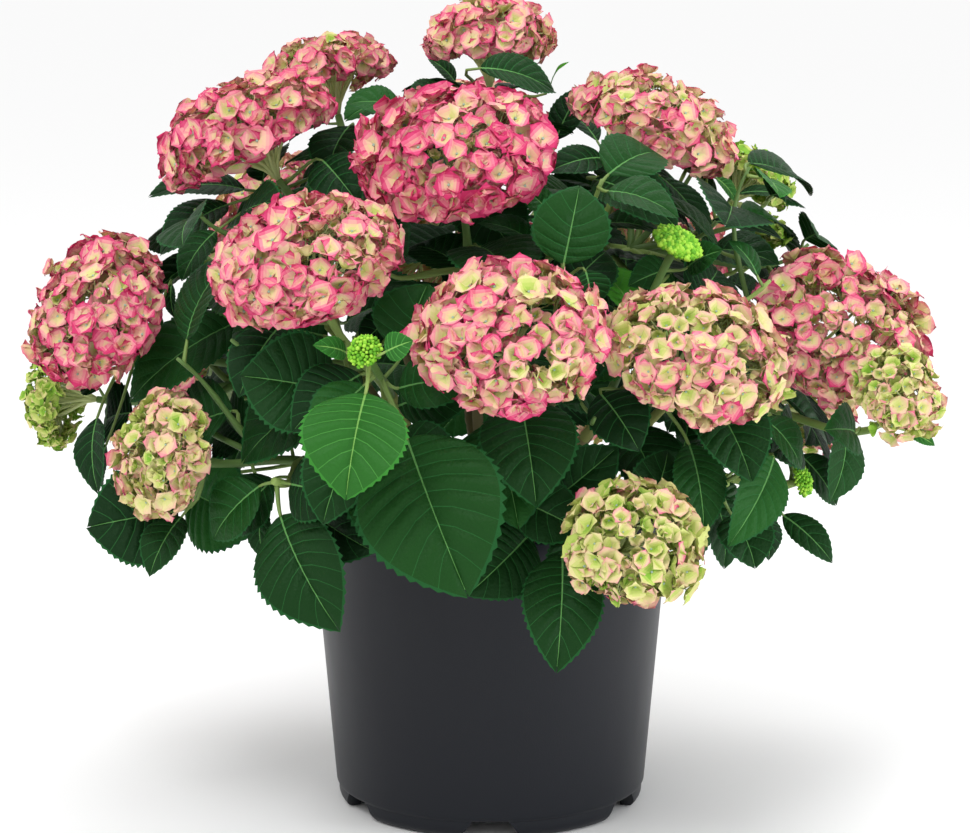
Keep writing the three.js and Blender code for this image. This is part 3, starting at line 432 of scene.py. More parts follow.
def through_head(shoot):
    """Points through a flower head and, thinner, through the open space that it faces."""
    across = shoot["across"]
    radius = across / 2 + across * HEAD["lump"]
    steps = np.arange(-radius, radius + 1e-9, CELL)
    x, y, z = (a.ravel() for a in np.meshgrid(steps, steps, steps, indexing="ij"))
    half = head_half(across, z) + across * HEAD["lump"]
    inside = (x * x + y * y) / (radius * radius) + (z * z) / (half * half) <= 1
    body = np.stack((x, y, z), 1)[inside]
    front = body[body[:, 2] > 0]
    near = front + (0, 0, HEAD["outlook"] / 2)
    far = front * (0.9, 0.9, 1) + (0, 0, HEAD["outlook"])
    return np.vstack((body, near, far)) @ frame_of(shoot["face"]).T + shoot["at"]


def through_bud(shoot):
    radius = shoot["bud"] / 2
    steps = (np.arange(9) / 4 - 1) * radius
    points = np.stack(np.meshgrid(steps, steps, steps, indexing="ij"), -1).reshape(-1, 3)
    return points[np.sqrt((points**2).sum(1)) <= radius * 1.01] + shoot["at"]


def midrib(leaf, shares):
    """Places on a leaf's midrib, with the upper side's direction at each, and the leaf's left."""
    angle = leaf["droop"] * np.asarray(shares, float)[:, None]
    ahead, upper = leaf["ahead"], leaf["upper"]
    bend = leaf["length"] / leaf["droop"]
    place = leaf["base"] + ahead * bend * np.sin(angle) - upper * bend * (1 - np.cos(angle))
    normal = upper * np.cos(angle) + ahead * np.sin(angle)
    return place, normal, np.cross(upper, ahead)


TRIANGLE_GRIDS = {}


def over_triangle(corners):
    """Points over a triangle, no more than a cell apart."""
    sides = corners - np.roll(corners, 1, 0)
    n = math.ceil(math.sqrt((sides**2).sum(1).max()) / CELL)
    if n not in TRIANGLE_GRIDS:
        grid = [((n - i - j) / n, i / n, j / n) for i in range(n + 1) for j in range(n + 1 - i)]
        TRIANGLE_GRIDS[n] = np.array(grid)
    return TRIANGLE_GRIDS[n] @ corners


def leaf_samples(leaf):
    """Points over the blade, and points along its petiole."""
    place, normal, left = midrib(leaf, [share for share, _ in leaf["blade"]] + [1])
    tip = place[-1]
    points = []
    rows = [(leaf["base"],) * 3]
    for i, (_, wide) in enumerate(leaf["blade"]):
        half = leaf["width"] / 2 * wide
        lift = normal[i] * half * math.sin(LEAF["fold"])
        across = left * half * math.cos(LEAF["fold"])
        rows.append((place[i] + across + lift, place[i], place[i] - across + lift))
    rows.append((tip, tip, tip))
    for (left0, mid0, right0), (left1, mid1, right1) in zip(rows, rows[1:]):
        for side0, side1 in ((left0, left1), (right0, right1)):
            points.append(over_triangle(np.array((side0, mid0, mid1))))
            points.append(over_triangle(np.array((side0, mid1, side1))))
    n = math.ceil(distance(leaf["root"], leaf["base"]) / CELL)
    petiole = leaf["root"] + (leaf["base"] - leaf["root"]) * (np.arange(n) / n)[:, None]
    return np.vstack(points), petiole


def has_room(leaf, owner):
    """Whether a leaf has room. Its petiole may pass what its own mass has taken."""
    blade, petiole = leaf_samples(leaf)
    return is_open(blade) and is_open(petiole, owner)


def take_leaf(shoot, leaf, owner):
    take(np.vstack(leaf_samples(leaf)), owner)
    shoot["grown"].append(leaf)


def arched(chord, upper):
    """Heading and upper side at the base of a blade that arches over its chord."""
    half = LEAF["droop"] / 2
    ahead = chord * math.cos(half) + upper * math.sin(half)
    return dict(ahead=ahead, upper=square_to(upper, ahead), droop=LEAF["droop"])


def spread_leaf(root, stem_way, outward, length, width, sag, turn):
    """A leaf with its blade along the crown's surface and its tip hanging."""
    upper = unit(facing(root, AXIS["leaves"]) + UP * 0.2 + stem_way * 0.25)
    way = unit(square_to(outward, upper) + square_to(-UP, upper) * sag)
    chord = turn_about(way, upper, turn)
    petiole_way = unit(outward + stem_way * 0.5 + chord * 0.6)
    base = root + petiole_way * LEAF["petiole"] * min(1, length / 90)
    return dict(root=root, base=base, length=length, width=width, blade=PLAIN_BLADE, **arched(chord, upper))


def set_leaf(shoot, base, tip, width, tone):
    """A leaf that is set by the ends of its blade, from the nearest point of its shoot."""
    foot, end = vec(base), vec(tip)
    roots = [stem_point(shoot, LEAF["first_root"] + LEAF["root_step"] * i) for i in range(LEAF["roots"])]
    root = min(roots, key=lambda p: distance(foot, p))
    chord = unit(end - foot)
    upper = square_to(facing(end, AXIS["leaves"]) + UP * 0.3 + FRONT, chord)
    half = LEAF["droop"] / 2
    length = distance(foot, end) * half / math.sin(half)
    blade = FINE_BLADE if width > LEAF["fine_from"] else PLAIN_BLADE
    return dict(root=root, base=foot, length=length, width=width, blade=blade, tone=tone,
                **arched(chord, upper))


def set_leaves(limb, shoot, rows):
    for row in rows:
        leaf = set_leaf(shoot, *row)
        if has_room(leaf, limb["owner"]):
            take_leaf(shoot, leaf, limb["owner"])


def grow_leaves(shoot, owner, random):
    """Grows the leaves of one shoot in opposite pairs. Every leaf draws the same count of numbers."""
    length = shoot["curve"].length()
    face = shoot["face"]
    side = square_to(vec((-face[1], face[0], 0.01)), face)
    for pair in range(shoot["pairs"]):
        share = 1 - (LEAF["first_node"] + pair * LEAF["node_spacing"]) / length
        root = stem_point(shoot, max(share, 0))
        stem_way = shoot["curve"].tangent(max(share, 0))
        heading = math.radians(shoot["turn"]) + pair * math.pi / 2
        for half in (0, math.pi):
            turn = heading + half + 0.3 * (random() - 0.5)
            outward = turn_about(square_to(side, stem_way), stem_way, turn)
            long = LEAF["lengths"][pair] * shoot["big"] * (0.9 + 0.2 * random())
            wide = long * LEAF["wide"] * (0.92 + 0.16 * random())
            sag = 0.25 + 0.35 * random()
            if share < 0.1:
                continue
            leaf = first_fit(root, stem_way, outward, long, wide, sag, owner)
            if leaf:
                take_leaf(shoot, leaf, owner)


def first_fit(root, stem_way, outward, long, wide, sag, owner):
    """The first try, over sizes and turns, that keeps to the open space of the crown."""
    for size in LEAF["sizes"]:
        for turn in LEAF["turns"]:
            leaf = spread_leaf(root, stem_way, outward, long * size, wide * size, sag, turn)
            if in_crown(leaf_samples(leaf)[0]) and has_room(leaf, owner):
                return leaf
    return None


def grow_crown():
    limbs = plan_limbs()
    for limb in limbs:
        take(along_curve(limb["curve"], 0, CANE["foot"]), HEAD_OR_CANE)
        for shoot in limb["shoots"]:
            take(along_curve(shoot["curve"], 0, STEM["root"]), limb["owner"])
            if shoot["across"]:
                take(through_head(shoot), HEAD_OR_CANE)
            else:
                take(through_bud(shoot), limb["owner"])
    for limb, shoot in each_shoot(limbs):
        set_leaves(limb, shoot, shoot["leaves"])
    fill_crown(limbs, FILL["depth"], FILL["places"], FILL["most"], FILL["tip_room"], FILL["big"])
    random = seeded(SEEDS["leaves"])
    for limb, shoot in each_shoot(limbs):
        grow_leaves(shoot, limb["owner"], random)
    return limbs


def grow_finer(limbs):
    """Smaller leaves on the same shoots, and short shoots inside the crown, in what space is left."""
    random = seeded(SEEDS["finer"])
    for depth, most, tip_room in FINER_FILL["passes"]:
        fill_crown(limbs, depth, FINER_FILL["places"], most, tip_room, FINER_FILL["big"])
        for limb, shoot in each_shoot(limbs):
            if not shoot["main"] and not shoot["grown"]:
                grow_leaves(shoot, limb["owner"], random)
    for turn, pairs, big in FINER_LEAVES:
        for limb, shoot in each_shoot(limbs):
            finer = dict(shoot, pairs=pairs, turn=shoot["turn"] + turn, big=big, grown=[])
            grow_leaves(finer, limb["owner"], random)
            shoot["grown"] += finer["grown"]
    for limb, shoot in each_shoot(limbs):
        set_leaves(limb, shoot, SMALL_LEAVES.get(shoot["name"], ()))


# ---------------------------------------------------------------- colours and materials


def linear(hex_colour):
    """A colour written as in a paint chart, as linear light."""
    parts = [int(hex_colour[i : i + 2], 16) / 255 for i in (1, 3, 5)]
    return [c / 12.92 if c < 0.04045 else ((c + 0.055) / 1.055) ** 2.4 for c in parts] + [1.0]


class Nodes:
    """A small helper that adds and links shader nodes."""

    def __init__(self, name, colour, roughness, specular=0.5):
        self.material = bpy.data.materials.new(name)
        self.material.use_nodes = True
        self.tree = self.material.node_tree
        self.shader = self.tree.nodes["Principled BSDF"]
        self.shader.inputs["Base Color"].default_value = linear(colour)
        self.shader.inputs["Roughness"].default_value = roughness
        self.shader.inputs["Specular IOR Level"].default_value = specular
        self.material.diffuse_color = linear(colour)

    def add(self, kind, **sockets):
        node = self.tree.nodes.new(kind)
        for name, value in sockets.items():
            node.inputs[name.replace("_", " ")].default_value = value
        return node

    def link(self, a, out, b, into):
        self.tree.links.new(a.outputs[out], b.inputs[into])

    def noise(self, scale, detail=3, stretch=(1, 1, 1)):
        """Noise over the places on the object, in metres."""
        here = self.add("ShaderNodeTexCoord")
        move = self.add("ShaderNodeMapping", Scale=stretch)
        noise = self.add("ShaderNodeTexNoise", Scale=scale, Detail=detail)
        self.link(here, "Object", move, "Vector")
        self.link(move, "Vector", noise, "Vector")
        return noise

    def roughen(self, noise, low, high):
        spread = self.add("ShaderNodeMapRange", To_Min=low, To_Max=high)
        self.link(noise, "Fac", spread, "Value")
        self.link(spread, "Result", self.shader, "Roughness")

    def bump(self, source, height, strength):
        bump = self.add("ShaderNodeBump", Strength=strength, Distance=height)
        self.link(source, "Fac", bump, "Height")
        self.link(bump, "Normal", self.shader, "Normal")


# Each kind of surface: its specular level and tint, the noise that varies its roughness and how far
# below and above, and the noise, height and strength of its relief.
SKINS = dict(
    leaf=(0.16, (0.62, 1.0, 0.66), (90,), (-0.07, 0.12), (430, 2), 0.0011, 0.7),
    petal=(0.18, (1, 1, 1), (300,), (-0.07, 0.1), (700, 2), 0.0003, 0.4),
    stem=(0.4, (1, 1, 1), (160,), (-0.08, 0.15), (420, 3, (1, 1, 0.25)), 0.0006, 0.5),
    pot=(0.26, (1, 1, 1), (34, 5, (1, 1, 0.35)), (-0.06, 0.1), (900, 2), 0.0002, 0.35),
)


def skin(kind, name, colour, roughness):
    specular, tint, spots, (below, above), grain, height, strength = SKINS[kind]
    nodes = Nodes(name, colour, roughness, specular)
    nodes.shader.inputs["Specular Tint"].default_value = (*tint, 1.0)
    nodes.roughen(nodes.noise(*spots), roughness + below, roughness + above)
    nodes.bump(nodes.noise(*grain), height, strength)
    return nodes.material


def chart(kind, name, colours, roughness):
    return [skin(kind, f"{name}_{i}", colour, roughness) for i, colour in enumerate(colours)]


def blend(colours, count):
    """A run of evenly spaced tones through some colours."""
    places = np.linspace(0, len(colours) - 1, count)
    parts = np.array([[int(c[i : i + 2], 16) for i in (1, 3, 5)] for c in colours])
    mixed = [np.interp(places, np.arange(len(colours)), part) for part in parts.T]
    return ["#%02x%02x%02x" % tuple(round(v) for v in tone) for tone in zip(*mixed)]


LEAF_TONES = ["#0d280f", "#113211", "#173e15", "#1e4e1b", "#296022", "#47902b", "#7cc136"]
VEIN_TONES = ["#24592a", "#46873a", "#9cc852"]
EDGE_TONES = ["#1b4d24", "#357a2c", "#8bc04a"]
MIDRIB_TONES = ["#5d9150", "#7cad58", "#b4d67c"]
LEAF_MATERIALS = chart("leaf", "leaf", LEAF_TONES, 0.46) + chart("leaf", "vein", VEIN_TONES, 0.5)
LEAF_MATERIALS += chart("leaf", "edge", EDGE_TONES, 0.5) + chart("leaf", "midrib", MIDRIB_TONES, 0.5)
VEIN = len(LEAF_TONES)
EDGE = VEIN + len(VEIN_TONES)
MIDRIB = EDGE + len(EDGE_TONES)

# From the greenest tone of a sepal to the pinkest.
SEPAL_TONES = blend(["#7fae38", "#b9c968", "#d8cf93", "#e4b9a0", "#e48a98", "#d85c80", "#c53265"], 22)
SEPAL_MATERIALS = chart("petal", "sepal", SEPAL_TONES, 0.62)
SEPAL_MATERIALS.append(skin("petal", "floret_eye", "#9fb8a8", 0.62))
SEPAL_MATERIALS.append(skin("petal", "pedicel", "#c3cf8e", 0.62))
EYE = len(SEPAL_TONES)
PEDICEL = EYE + 1
BUD_MATERIALS = chart("petal", "bud", ["#63a52a", "#85c436", "#a6d84a"], 0.62)
STEM_MATERIALS = chart("stem", "stem", ["#6f8a45", "#8aa455", "#5a7a3c"], 0.5)
BARK_MATERIALS = chart("stem", "bark", ["#6b6440", "#7d7450", "#8a9150"], 0.75)
SOIL_MATERIALS = chart("stem", "soil", ["#22170f", "#33231a", "#46331f", "#5a4430"], 0.9)


# ---------------------------------------------------------------- meshes


class Piece:
    """Gathers many small meshes, in millimetres, into one object."""

    def __init__(self, name, slot, materials, replaced=()):
        self.name, self.slot, self.materials, self.replaced = name, slot, materials, replaced
        self.points, self.faces, self.tones, self.count = [], [], [], 0

    def add(self, points, faces, tones):
        """Adds points, triangles and the material number of each triangle."""
        self.points.append(points)
        self.faces.append(faces + self.count)
        self.tones.append(np.broadcast_to(tones, len(faces)))
        self.count += len(points)

    def limb(self, curve, root, tip, steps, sides, tone):
        """Adds an evenly tapering tube along a curve."""
        centres = curve.points(np.linspace(0, 1, steps))
        self.add(*tube(centres, np.linspace(root, tip, steps), sides), tone)

    def build(self, smooth=True):
        points = np.vstack(self.points) * MM
        faces = np.vstack(self.faces)
        mesh = bpy.data.meshes.new(self.name)
        mesh.vertices.add(len(points))
        mesh.vertices.foreach_set("co", points.astype(np.float32).ravel())
        mesh.loops.add(faces.size)
        mesh.loops.foreach_set("vertex_index", faces.astype(np.int32).ravel())
        mesh.polygons.add(len(faces))
        mesh.polygons.foreach_set("loop_start", np.arange(0, faces.size, 3, dtype=np.int32))
        for material in self.materials:
            mesh.materials.append(material)
        mesh.polygons.foreach_set("material_index", np.concatenate(self.tones).astype(np.int32))
        mesh.polygons.foreach_set("use_smooth", np.full(len(faces), smooth))
        mesh.update(calc_edges=True)
        mesh.validate()
        obj = bpy.data.objects.new(self.name, mesh)
        bpy.context.scene.collection.objects.link(obj)
        return dress(obj, self.replaced)


def dress(obj, replaced):
    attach(obj, "root")
    if replaced:
        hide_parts(*replaced)
    return obj


def turned(angle):
    """A turn about +Z, as a matrix of rows."""
    c, s = math.cos(angle), math.sin(angle)
    return np.array(((c, -s, 0), (s, c, 0), (0, 0, 1)))


def grid_faces(rows, columns, closed=False):
    """The triangles of a grid of points, row after row. A closed grid joins its last column to its
    first."""
    steps = np.arange(columns if closed else columns - 1)
    a = np.arange(rows - 1)[:, None] * columns + steps
    b = np.arange(rows - 1)[:, None] * columns + (steps + 1) % columns
    quads = np.stack((a, b, b + columns, a + columns), -1).reshape(-1, 4)
    return np.vstack((quads[:, [0, 1, 2]], quads[:, [0, 2, 3]]))


def capped(rings, sides, foot, tip):
    """The points and triangles of a stack of rings, closed by a fan to a point at each end."""
    rows = len(rings) // sides
    last = len(rings) - sides
    j = np.arange(sides)
    k = (j + 1) % sides
    foot_cap = np.stack((k, j, np.full(sides, len(rings))), 1)
    tip_cap = np.stack((last + j, last + k, np.full(sides, len(rings) + 1)), 1)
    faces = np.vstack((grid_faces(rows, sides, closed=True), foot_cap, tip_cap))
    return np.vstack((rings, [foot, tip])), faces


def tube(centres, radii, sides):
    """A closed tube through the centres: its points and triangles."""
    ways = np.gradient(centres, axis=0)
    ways /= np.sqrt((ways**2).sum(1))[:, None]
    across = square_to(vec((1, 0.3, 0.1)), ways[0])
    angles = np.arange(sides) * ROUND / sides
    rings = []
    for centre, way, radius in zip(centres, ways, radii):
        across = square_to(across, way)
        other = np.cross(way, across)
        rings.append(centre + radius * (np.outer(np.cos(angles), across) + np.outer(np.sin(angles), other)))
    return capped(np.vstack(rings), sides, centres[0], centres[-1])


# ---------------------------------------------------------------- leaves

# A blade's make, in millimetres (vein, rib) or as shares of its width, half width or length. sweep is
# how far a side vein runs forward, rise and roll shape the blade's section, and long is the length
# from which a leaf has all its side veins.
BLADE = dict(veins=8, few_veins=5, long=66, vein=0.38, rib=0.8, rib_taper=0.65, rib_most=0.3, sweep=1.9,
             curl=1.35, tooth=0.034, tooth_ahead=0.008, rise=0.3, roll=0.13, quilt=0.022, wave=0.014,
             waves=9)
COLUMNS = np.array((1, 0.95, 0.64, 0.32, 0.04, 0, -0.04, -0.32, -0.64, -0.95, -1))
RIB_LEFT, RIB_RIGHT = 4, 6  # the columns along the midrib's sides
PETIOLE = dict(thick=0.9, length=130, root=1.25, tip=0.8, steps=6, sides=6, least=0.5)


def blade_rows(veins):
    """Rows of a blade, that run from the midrib out and forward to the margin as side veins do.

    Each row has its share of the margin, its place between two veins, and its tooth. A vein is the
    strip between two rows."""
    rows = [(0.001, 0, 0, False)]
    for k in range(veins + 1):
        for part, tooth in ((0.16, -1), (0.5, 1), (0.68, -1)):
            rows.append(((k + part) / (veins + 1), part, tooth, False))
        if k < veins:
            rows.append(((k + 1) / (veins + 1), 0, 1, True))
            rows.append(((k + 1) / (veins + 1), 0, 1, False))
    rows.append((0.996, 0, 0, False))
    return rows


def blade_profile(share):
    """Half width at a share of the margin, as a share of the widest."""
    return share**0.78 * (1 - share) ** 1.04 / 0.288


def blade_mesh(leaf, veins, rng):
    """A blade's points, triangles and parts: 0 for the blade, 1 a side vein, 2 the edge, 3 the midrib."""
    rows = blade_rows(veins)
    margin, between, tooth = (np.array([row[i] for row in rows], float) for i in range(3))
    opens_vein = np.array([row[3] for row in rows])
    closes_vein = np.roll(opens_vein, 1)
    vein_half = BLADE["vein"] / leaf["length"] * (opens_vein * -1.0 + closes_vein)
    root = 1 - (1 - margin) ** (1 / BLADE["sweep"]) + vein_half
    margin = margin + vein_half * 0.4
    teeth_fade = np.clip(margin * 9 - 0.6, 0, 1), np.clip((1 - margin) * 12, 0, 1)
    toothed = tooth * BLADE["tooth"] * teeth_fade[0] * teeth_fade[1]
    half = leaf["width"] / 2 * blade_profile(margin)
    rib_half = np.minimum(BLADE["rib"] * (1 - BLADE["rib_taper"] * margin), half * BLADE["rib_most"])

    column = np.abs(COLUMNS)
    edge = column == 1
    share = root[:, None] + (margin - root)[:, None] * column ** BLADE["curl"]
    share = share + edge * np.maximum(tooth, 0)[:, None] * BLADE["tooth_ahead"]
    out = half[:, None] * column
    out[:, RIB_LEFT] = out[:, RIB_RIGHT] = rib_half
    out = out * (1 + edge * toothed[:, None])
    lift = half[:, None] * (BLADE["rise"] * column - BLADE["roll"] * column**2)
    along = np.sin(math.pi * between) ** 0.7
    swell = np.sin(math.pi * np.minimum(column, 0.98)) ** 0.6
    phase = rng.uniform(0, 6.28, 2)
    ripple = np.sin(BLADE["waves"] * share + np.where(COLUMNS > 0, phase[0], phase[1]))
    lift = lift + leaf["width"] * BLADE["quilt"] * np.outer(along, swell)
    lift = lift + leaf["length"] * BLADE["wave"] * ripple * column**2
    place, normal, left = midrib(leaf, share.ravel())
    points = place + np.outer((out * np.sign(COLUMNS)).ravel(), left) + normal * lift.ravel()[:, None]

    n = len(COLUMNS)
    faces = grid_faces(len(rows), n)
    row, strip = np.divmod(faces[:, 0], n)
    parts = np.where(opens_vein[row], 1, 0)
    parts = np.where((strip == 0) | (strip == n - 2), 2, parts)
    parts = np.where((strip >= RIB_LEFT) & (strip < RIB_RIGHT), 3, parts)
    return points, faces, parts


def add_leaf(piece, stems, leaf, tone, rng):
    """A blade in one of the leaf tones, and its petiole."""
    veins = BLADE["veins"] if leaf["length"] > BLADE["long"] else BLADE["few_veins"]
    points, faces, parts = blade_mesh(leaf, veins, rng)
    kin = 0 if tone < 4 else (1 if tone < 6 else 2)
    piece.add(points, faces, np.choose(parts, (tone, VEIN + kin, EDGE + kin, MIDRIB + kin)))
    if distance(leaf["root"], leaf["base"]) > PETIOLE["least"]:
        ahead = leaf["ahead"]
        curve = Curve(leaf["root"], unit(leaf["base"] - leaf["root"]), leaf["base"] + ahead, ahead)
        thick = PETIOLE["thick"] + leaf["length"] / PETIOLE["length"]
        stems.limb(curve, thick * PETIOLE["root"], thick * PETIOLE["tip"], PETIOLE["steps"],
                   PETIOLE["sides"], kin % 2)


YOUNG = dict(near_bud=60, length=58, range=30, tone=1.5, brighter=1.6, spread=0.9)


def leaf_tone(leaf, shoot, rng):
    """Old leaves are dark, and those near a bud, or small ones, are young and bright."""
    if "tone" in leaf:
        return leaf["tone"]
    if shoot["bud"] >= BUD["least"] and leaf["length"] < YOUNG["near_bud"]:
        return int(rng.integers(3, 6))
    young = np.clip((YOUNG["length"] - leaf["length"]) / YOUNG["range"], 0, 1)
    tone = rng.normal(YOUNG["tone"] + YOUNG["brighter"] * young, YOUNG["spread"])
    return int(np.clip(round(tone), 0, 5))


# ---------------------------------------------------------------- florets

SEPAL_SHARES = np.array((0.05, 0.26, 0.46, 0.64, 0.82, 1.0))  # of the reach, along a sepal
SEPAL_HALF = np.array((0.12, 0.43, 0.58, 0.53, 0.29, 0.02))  # half width there, of the reach
SEPAL_SLOPE = np.array((0.5, 0.95, 0.8, 0.3, -0.4))  # how each strip stands up, of the cup
FADE = np.array((0.0, 0.14, 0.38, 0.66, 0.94))  # from the eye's tone to the margin's, by strip
SIDE_FADE = 0.14  # added towards the sides
# What age and blush make of a floret: each pair is the value at 0 and what is added up to 1. reach
# and blush are shares of the head's own, eye and margin are tones from green to pink.
FLORET = dict(cup=(1.55, -0.9), reach=(0.6, 0.46), blush=(0.54, 0.54), eye=(0.03, 0.36),
              margin=(0.14, 0.98), outer=0.35)
EYE_SIZE = 0.09  # of the reach
# Layers of florets: how many for one in the outer layer, or the head's own share of deep ones, how low
# they reach, the first one's turn, how uneven they are, how deep they are sunk in lengths of a sepal,
# what looseness adds to that, and their ages.
LAYERS = (
    (1, -0.42, 0, 0.07, (-0.2, 0.3), 0.4, (0.7, 1.1)),
    (1.25, -0.5, 1.1, 0.06, (0.35, 1.0), 0.4, (0.1, 0.75)),
    ("deep", -0.4, 2.3, 0.06, (1.2, 2.4), 0, (0.3, 0.8)),
)
RAYS = dict(count=14, lowest=-0.25, length=0.5, root=1.9, tip=1.1, steps=5, sides=5)
PEDICEL_RADII = (0.75, 0.6, 0.5)
LUMPS = dict(size=0.03, waves=3.5)
SET_BACK = vec((0.3, 0.3, 0.5))  # from a head's outline to its florets' middles, of a sepal's reach
LOBE_SIZE = 0.62
UNRIPE = 90  # a narrower head is still green


def sepal_grid(*columns):
    """The columns of points across a sepal, its triangles, and how far each has faded."""
    columns = np.array(columns)
    faces = grid_faces(len(SEPAL_SHARES), len(columns))
    row, column = np.divmod(faces[:, 0], len(columns))
    middle = np.abs(columns[column] + columns[column + 1]) / 2
    return columns, faces, FADE[row] + SIDE_FADE * middle


OUTER_SEPAL = sepal_grid(1, 0.4, -0.4, -1)
INNER_SEPAL = sepal_grid(1, 0, -1)

OCTAHEDRON = np.array(((1, 0, 0), (-1, 0, 0), (0, 1, 0), (0, -1, 0), (0, 0, 1), (0, 0, -1)), float)
OCTAHEDRON_FACES = np.array(
    ((0, 2, 4), (2, 1, 4), (1, 3, 4), (3, 0, 4), (2, 0, 5), (1, 2, 5), (3, 1, 5), (0, 3, 5)))


def sepal_points(columns, reach, cup, rng):
    """A sepal along +X from the floret's middle. It stands up as a cup, and its tip flares."""
    slope = cup * SEPAL_SLOPE + rng.normal(0, 0.12, len(SEPAL_SLOPE))
    steps = np.diff(SEPAL_SHARES)
    out = SEPAL_SHARES[0] + np.concatenate(([0], np.cumsum(steps * np.cos(slope))))[:, None]
    up = np.concatenate(([0], np.cumsum(steps * np.sin(slope))))[:, None]
    side = columns[None, :]
    half = SEPAL_HALF[:, None] * rng.uniform(0.88, 1.12)
    x = out * (1 - 0.1 * side**2)
    z = up + 0.2 * half * side**2 * (0.4 + 0.5 * cup)
    points = np.stack(np.broadcast_arrays(x, half * side, z), -1) * reach
    points[1:, :, 2] += rng.normal(0, 0.03 * reach, (len(SEPAL_SHARES) - 1, len(columns)))
    return points.reshape(-1, 3)


def add_floret(piece, sepal, middle, turn, reach, cup, tones, rng):
    """Four sepals round an eye. turn is a matrix whose last column is the way the floret faces."""
    spin = rng.uniform(0, math.pi / 2)
    eye_tone, margin_tone = tones
    columns, faces, faded = sepal
    for k in range(4):
        angle = spin + k * math.pi / 2 + rng.normal(0, 0.1)
        points = sepal_points(columns, reach * rng.uniform(0.88, 1.12), cup * rng.uniform(0.8, 1.2), rng)
        points[:, 2] += (k % 2) * 0.05 * reach
        points = points @ turned(angle).T
        tone = eye_tone + (margin_tone - eye_tone) * faded
        tone = np.clip(np.rint((tone + rng.normal(0, 0.05)) * EYE), 0, EYE - 1)
        piece.add(points @ turn.T + middle, faces, tone)
    eye = (OCTAHEDRON + UP) * (EYE_SIZE * reach)
    piece.add(eye @ turn.T + middle, OCTAHEDRON_FACES[:4], EYE)


def dome_points(count, lowest, start=0):
    """Directions spread evenly from the top of a dome down to the height lowest."""
    up = 1 - (1 - lowest) * (np.arange(count) + 0.5) / count
    turn = start + np.arange(count) * GOLDEN
    out = np.sqrt(1 - up**2)
    return np.stack((out * np.cos(turn), out * np.sin(turn), up), 1)


def floret_value(key, share):
    start, gain = FLORET[key]
    return start + gain * share


class Head:
    """A flower head: florets over a lumpy dome, on pedicels that rays carry from the neck."""

    def __init__(self, piece, shoot, look, rng):
        self.piece, self.shoot, self.look, self.rng = piece, shoot, look, rng
        self.turn = frame_of(shoot["face"])
        wide, high = look.get("size", (1, 0.92))
        self.stretch = vec((wide, 1, high))
        self.pale = unit(vec((rng.normal(0, 0.45), rng.normal(-0.25, 0.4), 1)))
        self.lumps = rng.normal(0, 1, (3, 3)), rng.uniform(0, 6.28, 3)
        self.feet = []

    def surface(self, way, sunk):
        """A point on the dome in the head's own frame, and the way that the dome faces there."""
        across, reach = self.shoot["across"], self.look["reach"]
        waves, phases = self.lumps
        lump = 1 + LUMPS["size"] * np.sin(LUMPS["waves"] * waves @ way + phases).sum()
        radii = vec((across / 2, across / 2, head_half(across, way[2]))) * lump
        radii = radii - reach * SET_BACK
        outward = unit(way / radii)
        return way * radii - outward * sunk, outward

    def floret(self, way, sunk, age, tilt=0.4):
        """A floret of an age from 0, green and closed, to 1, blushed and open."""
        rng, look = self.rng, self.look
        middle, outward = self.surface(way, sunk)
        near = max(way @ self.pale, 0) ** 4
        age = age * (1 - 0.45 * near)
        blush = max(look["blush"] * floret_value("blush", age) + rng.normal(0, 0.1), 0)
        eye_tone = floret_value("eye", blush) + rng.normal(0, 0.05)
        tones = eye_tone, floret_value("margin", blush) + rng.normal(0, 0.09)
        reach = look["reach"] * floret_value("reach", age) * rng.uniform(0.92, 1.1)
        cup = floret_value("cup", age) + rng.normal(0, 0.16)
        way_out = unit(outward + rng.normal(0, tilt, 3))
        turn = self.turn @ frame_of(way_out if way_out[2] > -0.98 else UP)
        centre = (self.turn @ middle) * self.stretch + self.shoot["at"]
        sepal = OUTER_SEPAL if sunk < FLORET["outer"] * look["reach"] else INNER_SEPAL
        add_floret(self.piece, sepal, centre, turn, reach, cup, tones, rng)
        self.feet.append((centre, turn[:, 2]))

    def grow(self):
        """Layers of florets, the outer one the oldest, and some that hang from the rim."""
        rng, look, across = self.rng, self.look, self.shoot["across"]
        loose, reach = look.get("loose", 0), look["reach"]
        count = round(ROUND * (across / 2) ** 2 * 1.06 / (0.87 * look["spacing"] ** 2))
        for share, lowest, start, jitter, (near, far), loosen, ages in LAYERS:
            share = look.get("deep", 0) if share == "deep" else share
            for way in dome_points(round(count * share), lowest, start):
                way = unit(way + rng.normal(0, jitter, 3))
                self.floret(way, reach * rng.uniform(near, far + loosen * loose), rng.uniform(*ages))
        for _ in range(look.get("strays", 0)):
            angle = rng.uniform(0, ROUND)
            way = unit(vec((math.cos(angle), math.sin(angle), rng.uniform(-0.5, 0.1))))
            self.floret(way, -reach * rng.uniform(0.1, 0.6), rng.uniform(0.4, 1.1), tilt=0.5)
        self.pedicels()

    def pedicels(self):
        """Rays from the neck, and a pedicel from the nearest ray to each floret."""
        shoot, ends = self.shoot, []
        for way in dome_points(RAYS["count"], RAYS["lowest"]):
            end, _ = self.surface(way, 0)
            end = shoot["at"] + (self.turn @ end) * self.stretch * RAYS["length"]
            reach = unit(end - shoot["neck"])
            curve = Curve(shoot["neck"], unit(shoot["face"] + reach * 0.7), end, reach)
            self.piece.limb(curve, RAYS["root"], RAYS["tip"], RAYS["steps"], RAYS["sides"], PEDICEL)
            ends.append(end)
        ends = np.array(ends)
        for foot, way in self.feet:
            start = ends[np.argmin(((ends - foot) ** 2).sum(1))]
            curve = Curve(start, unit(foot - start), foot, way)
            self.piece.add(*tube(curve.points((0, 0.5, 1)), PEDICEL_RADII, 3), PEDICEL)


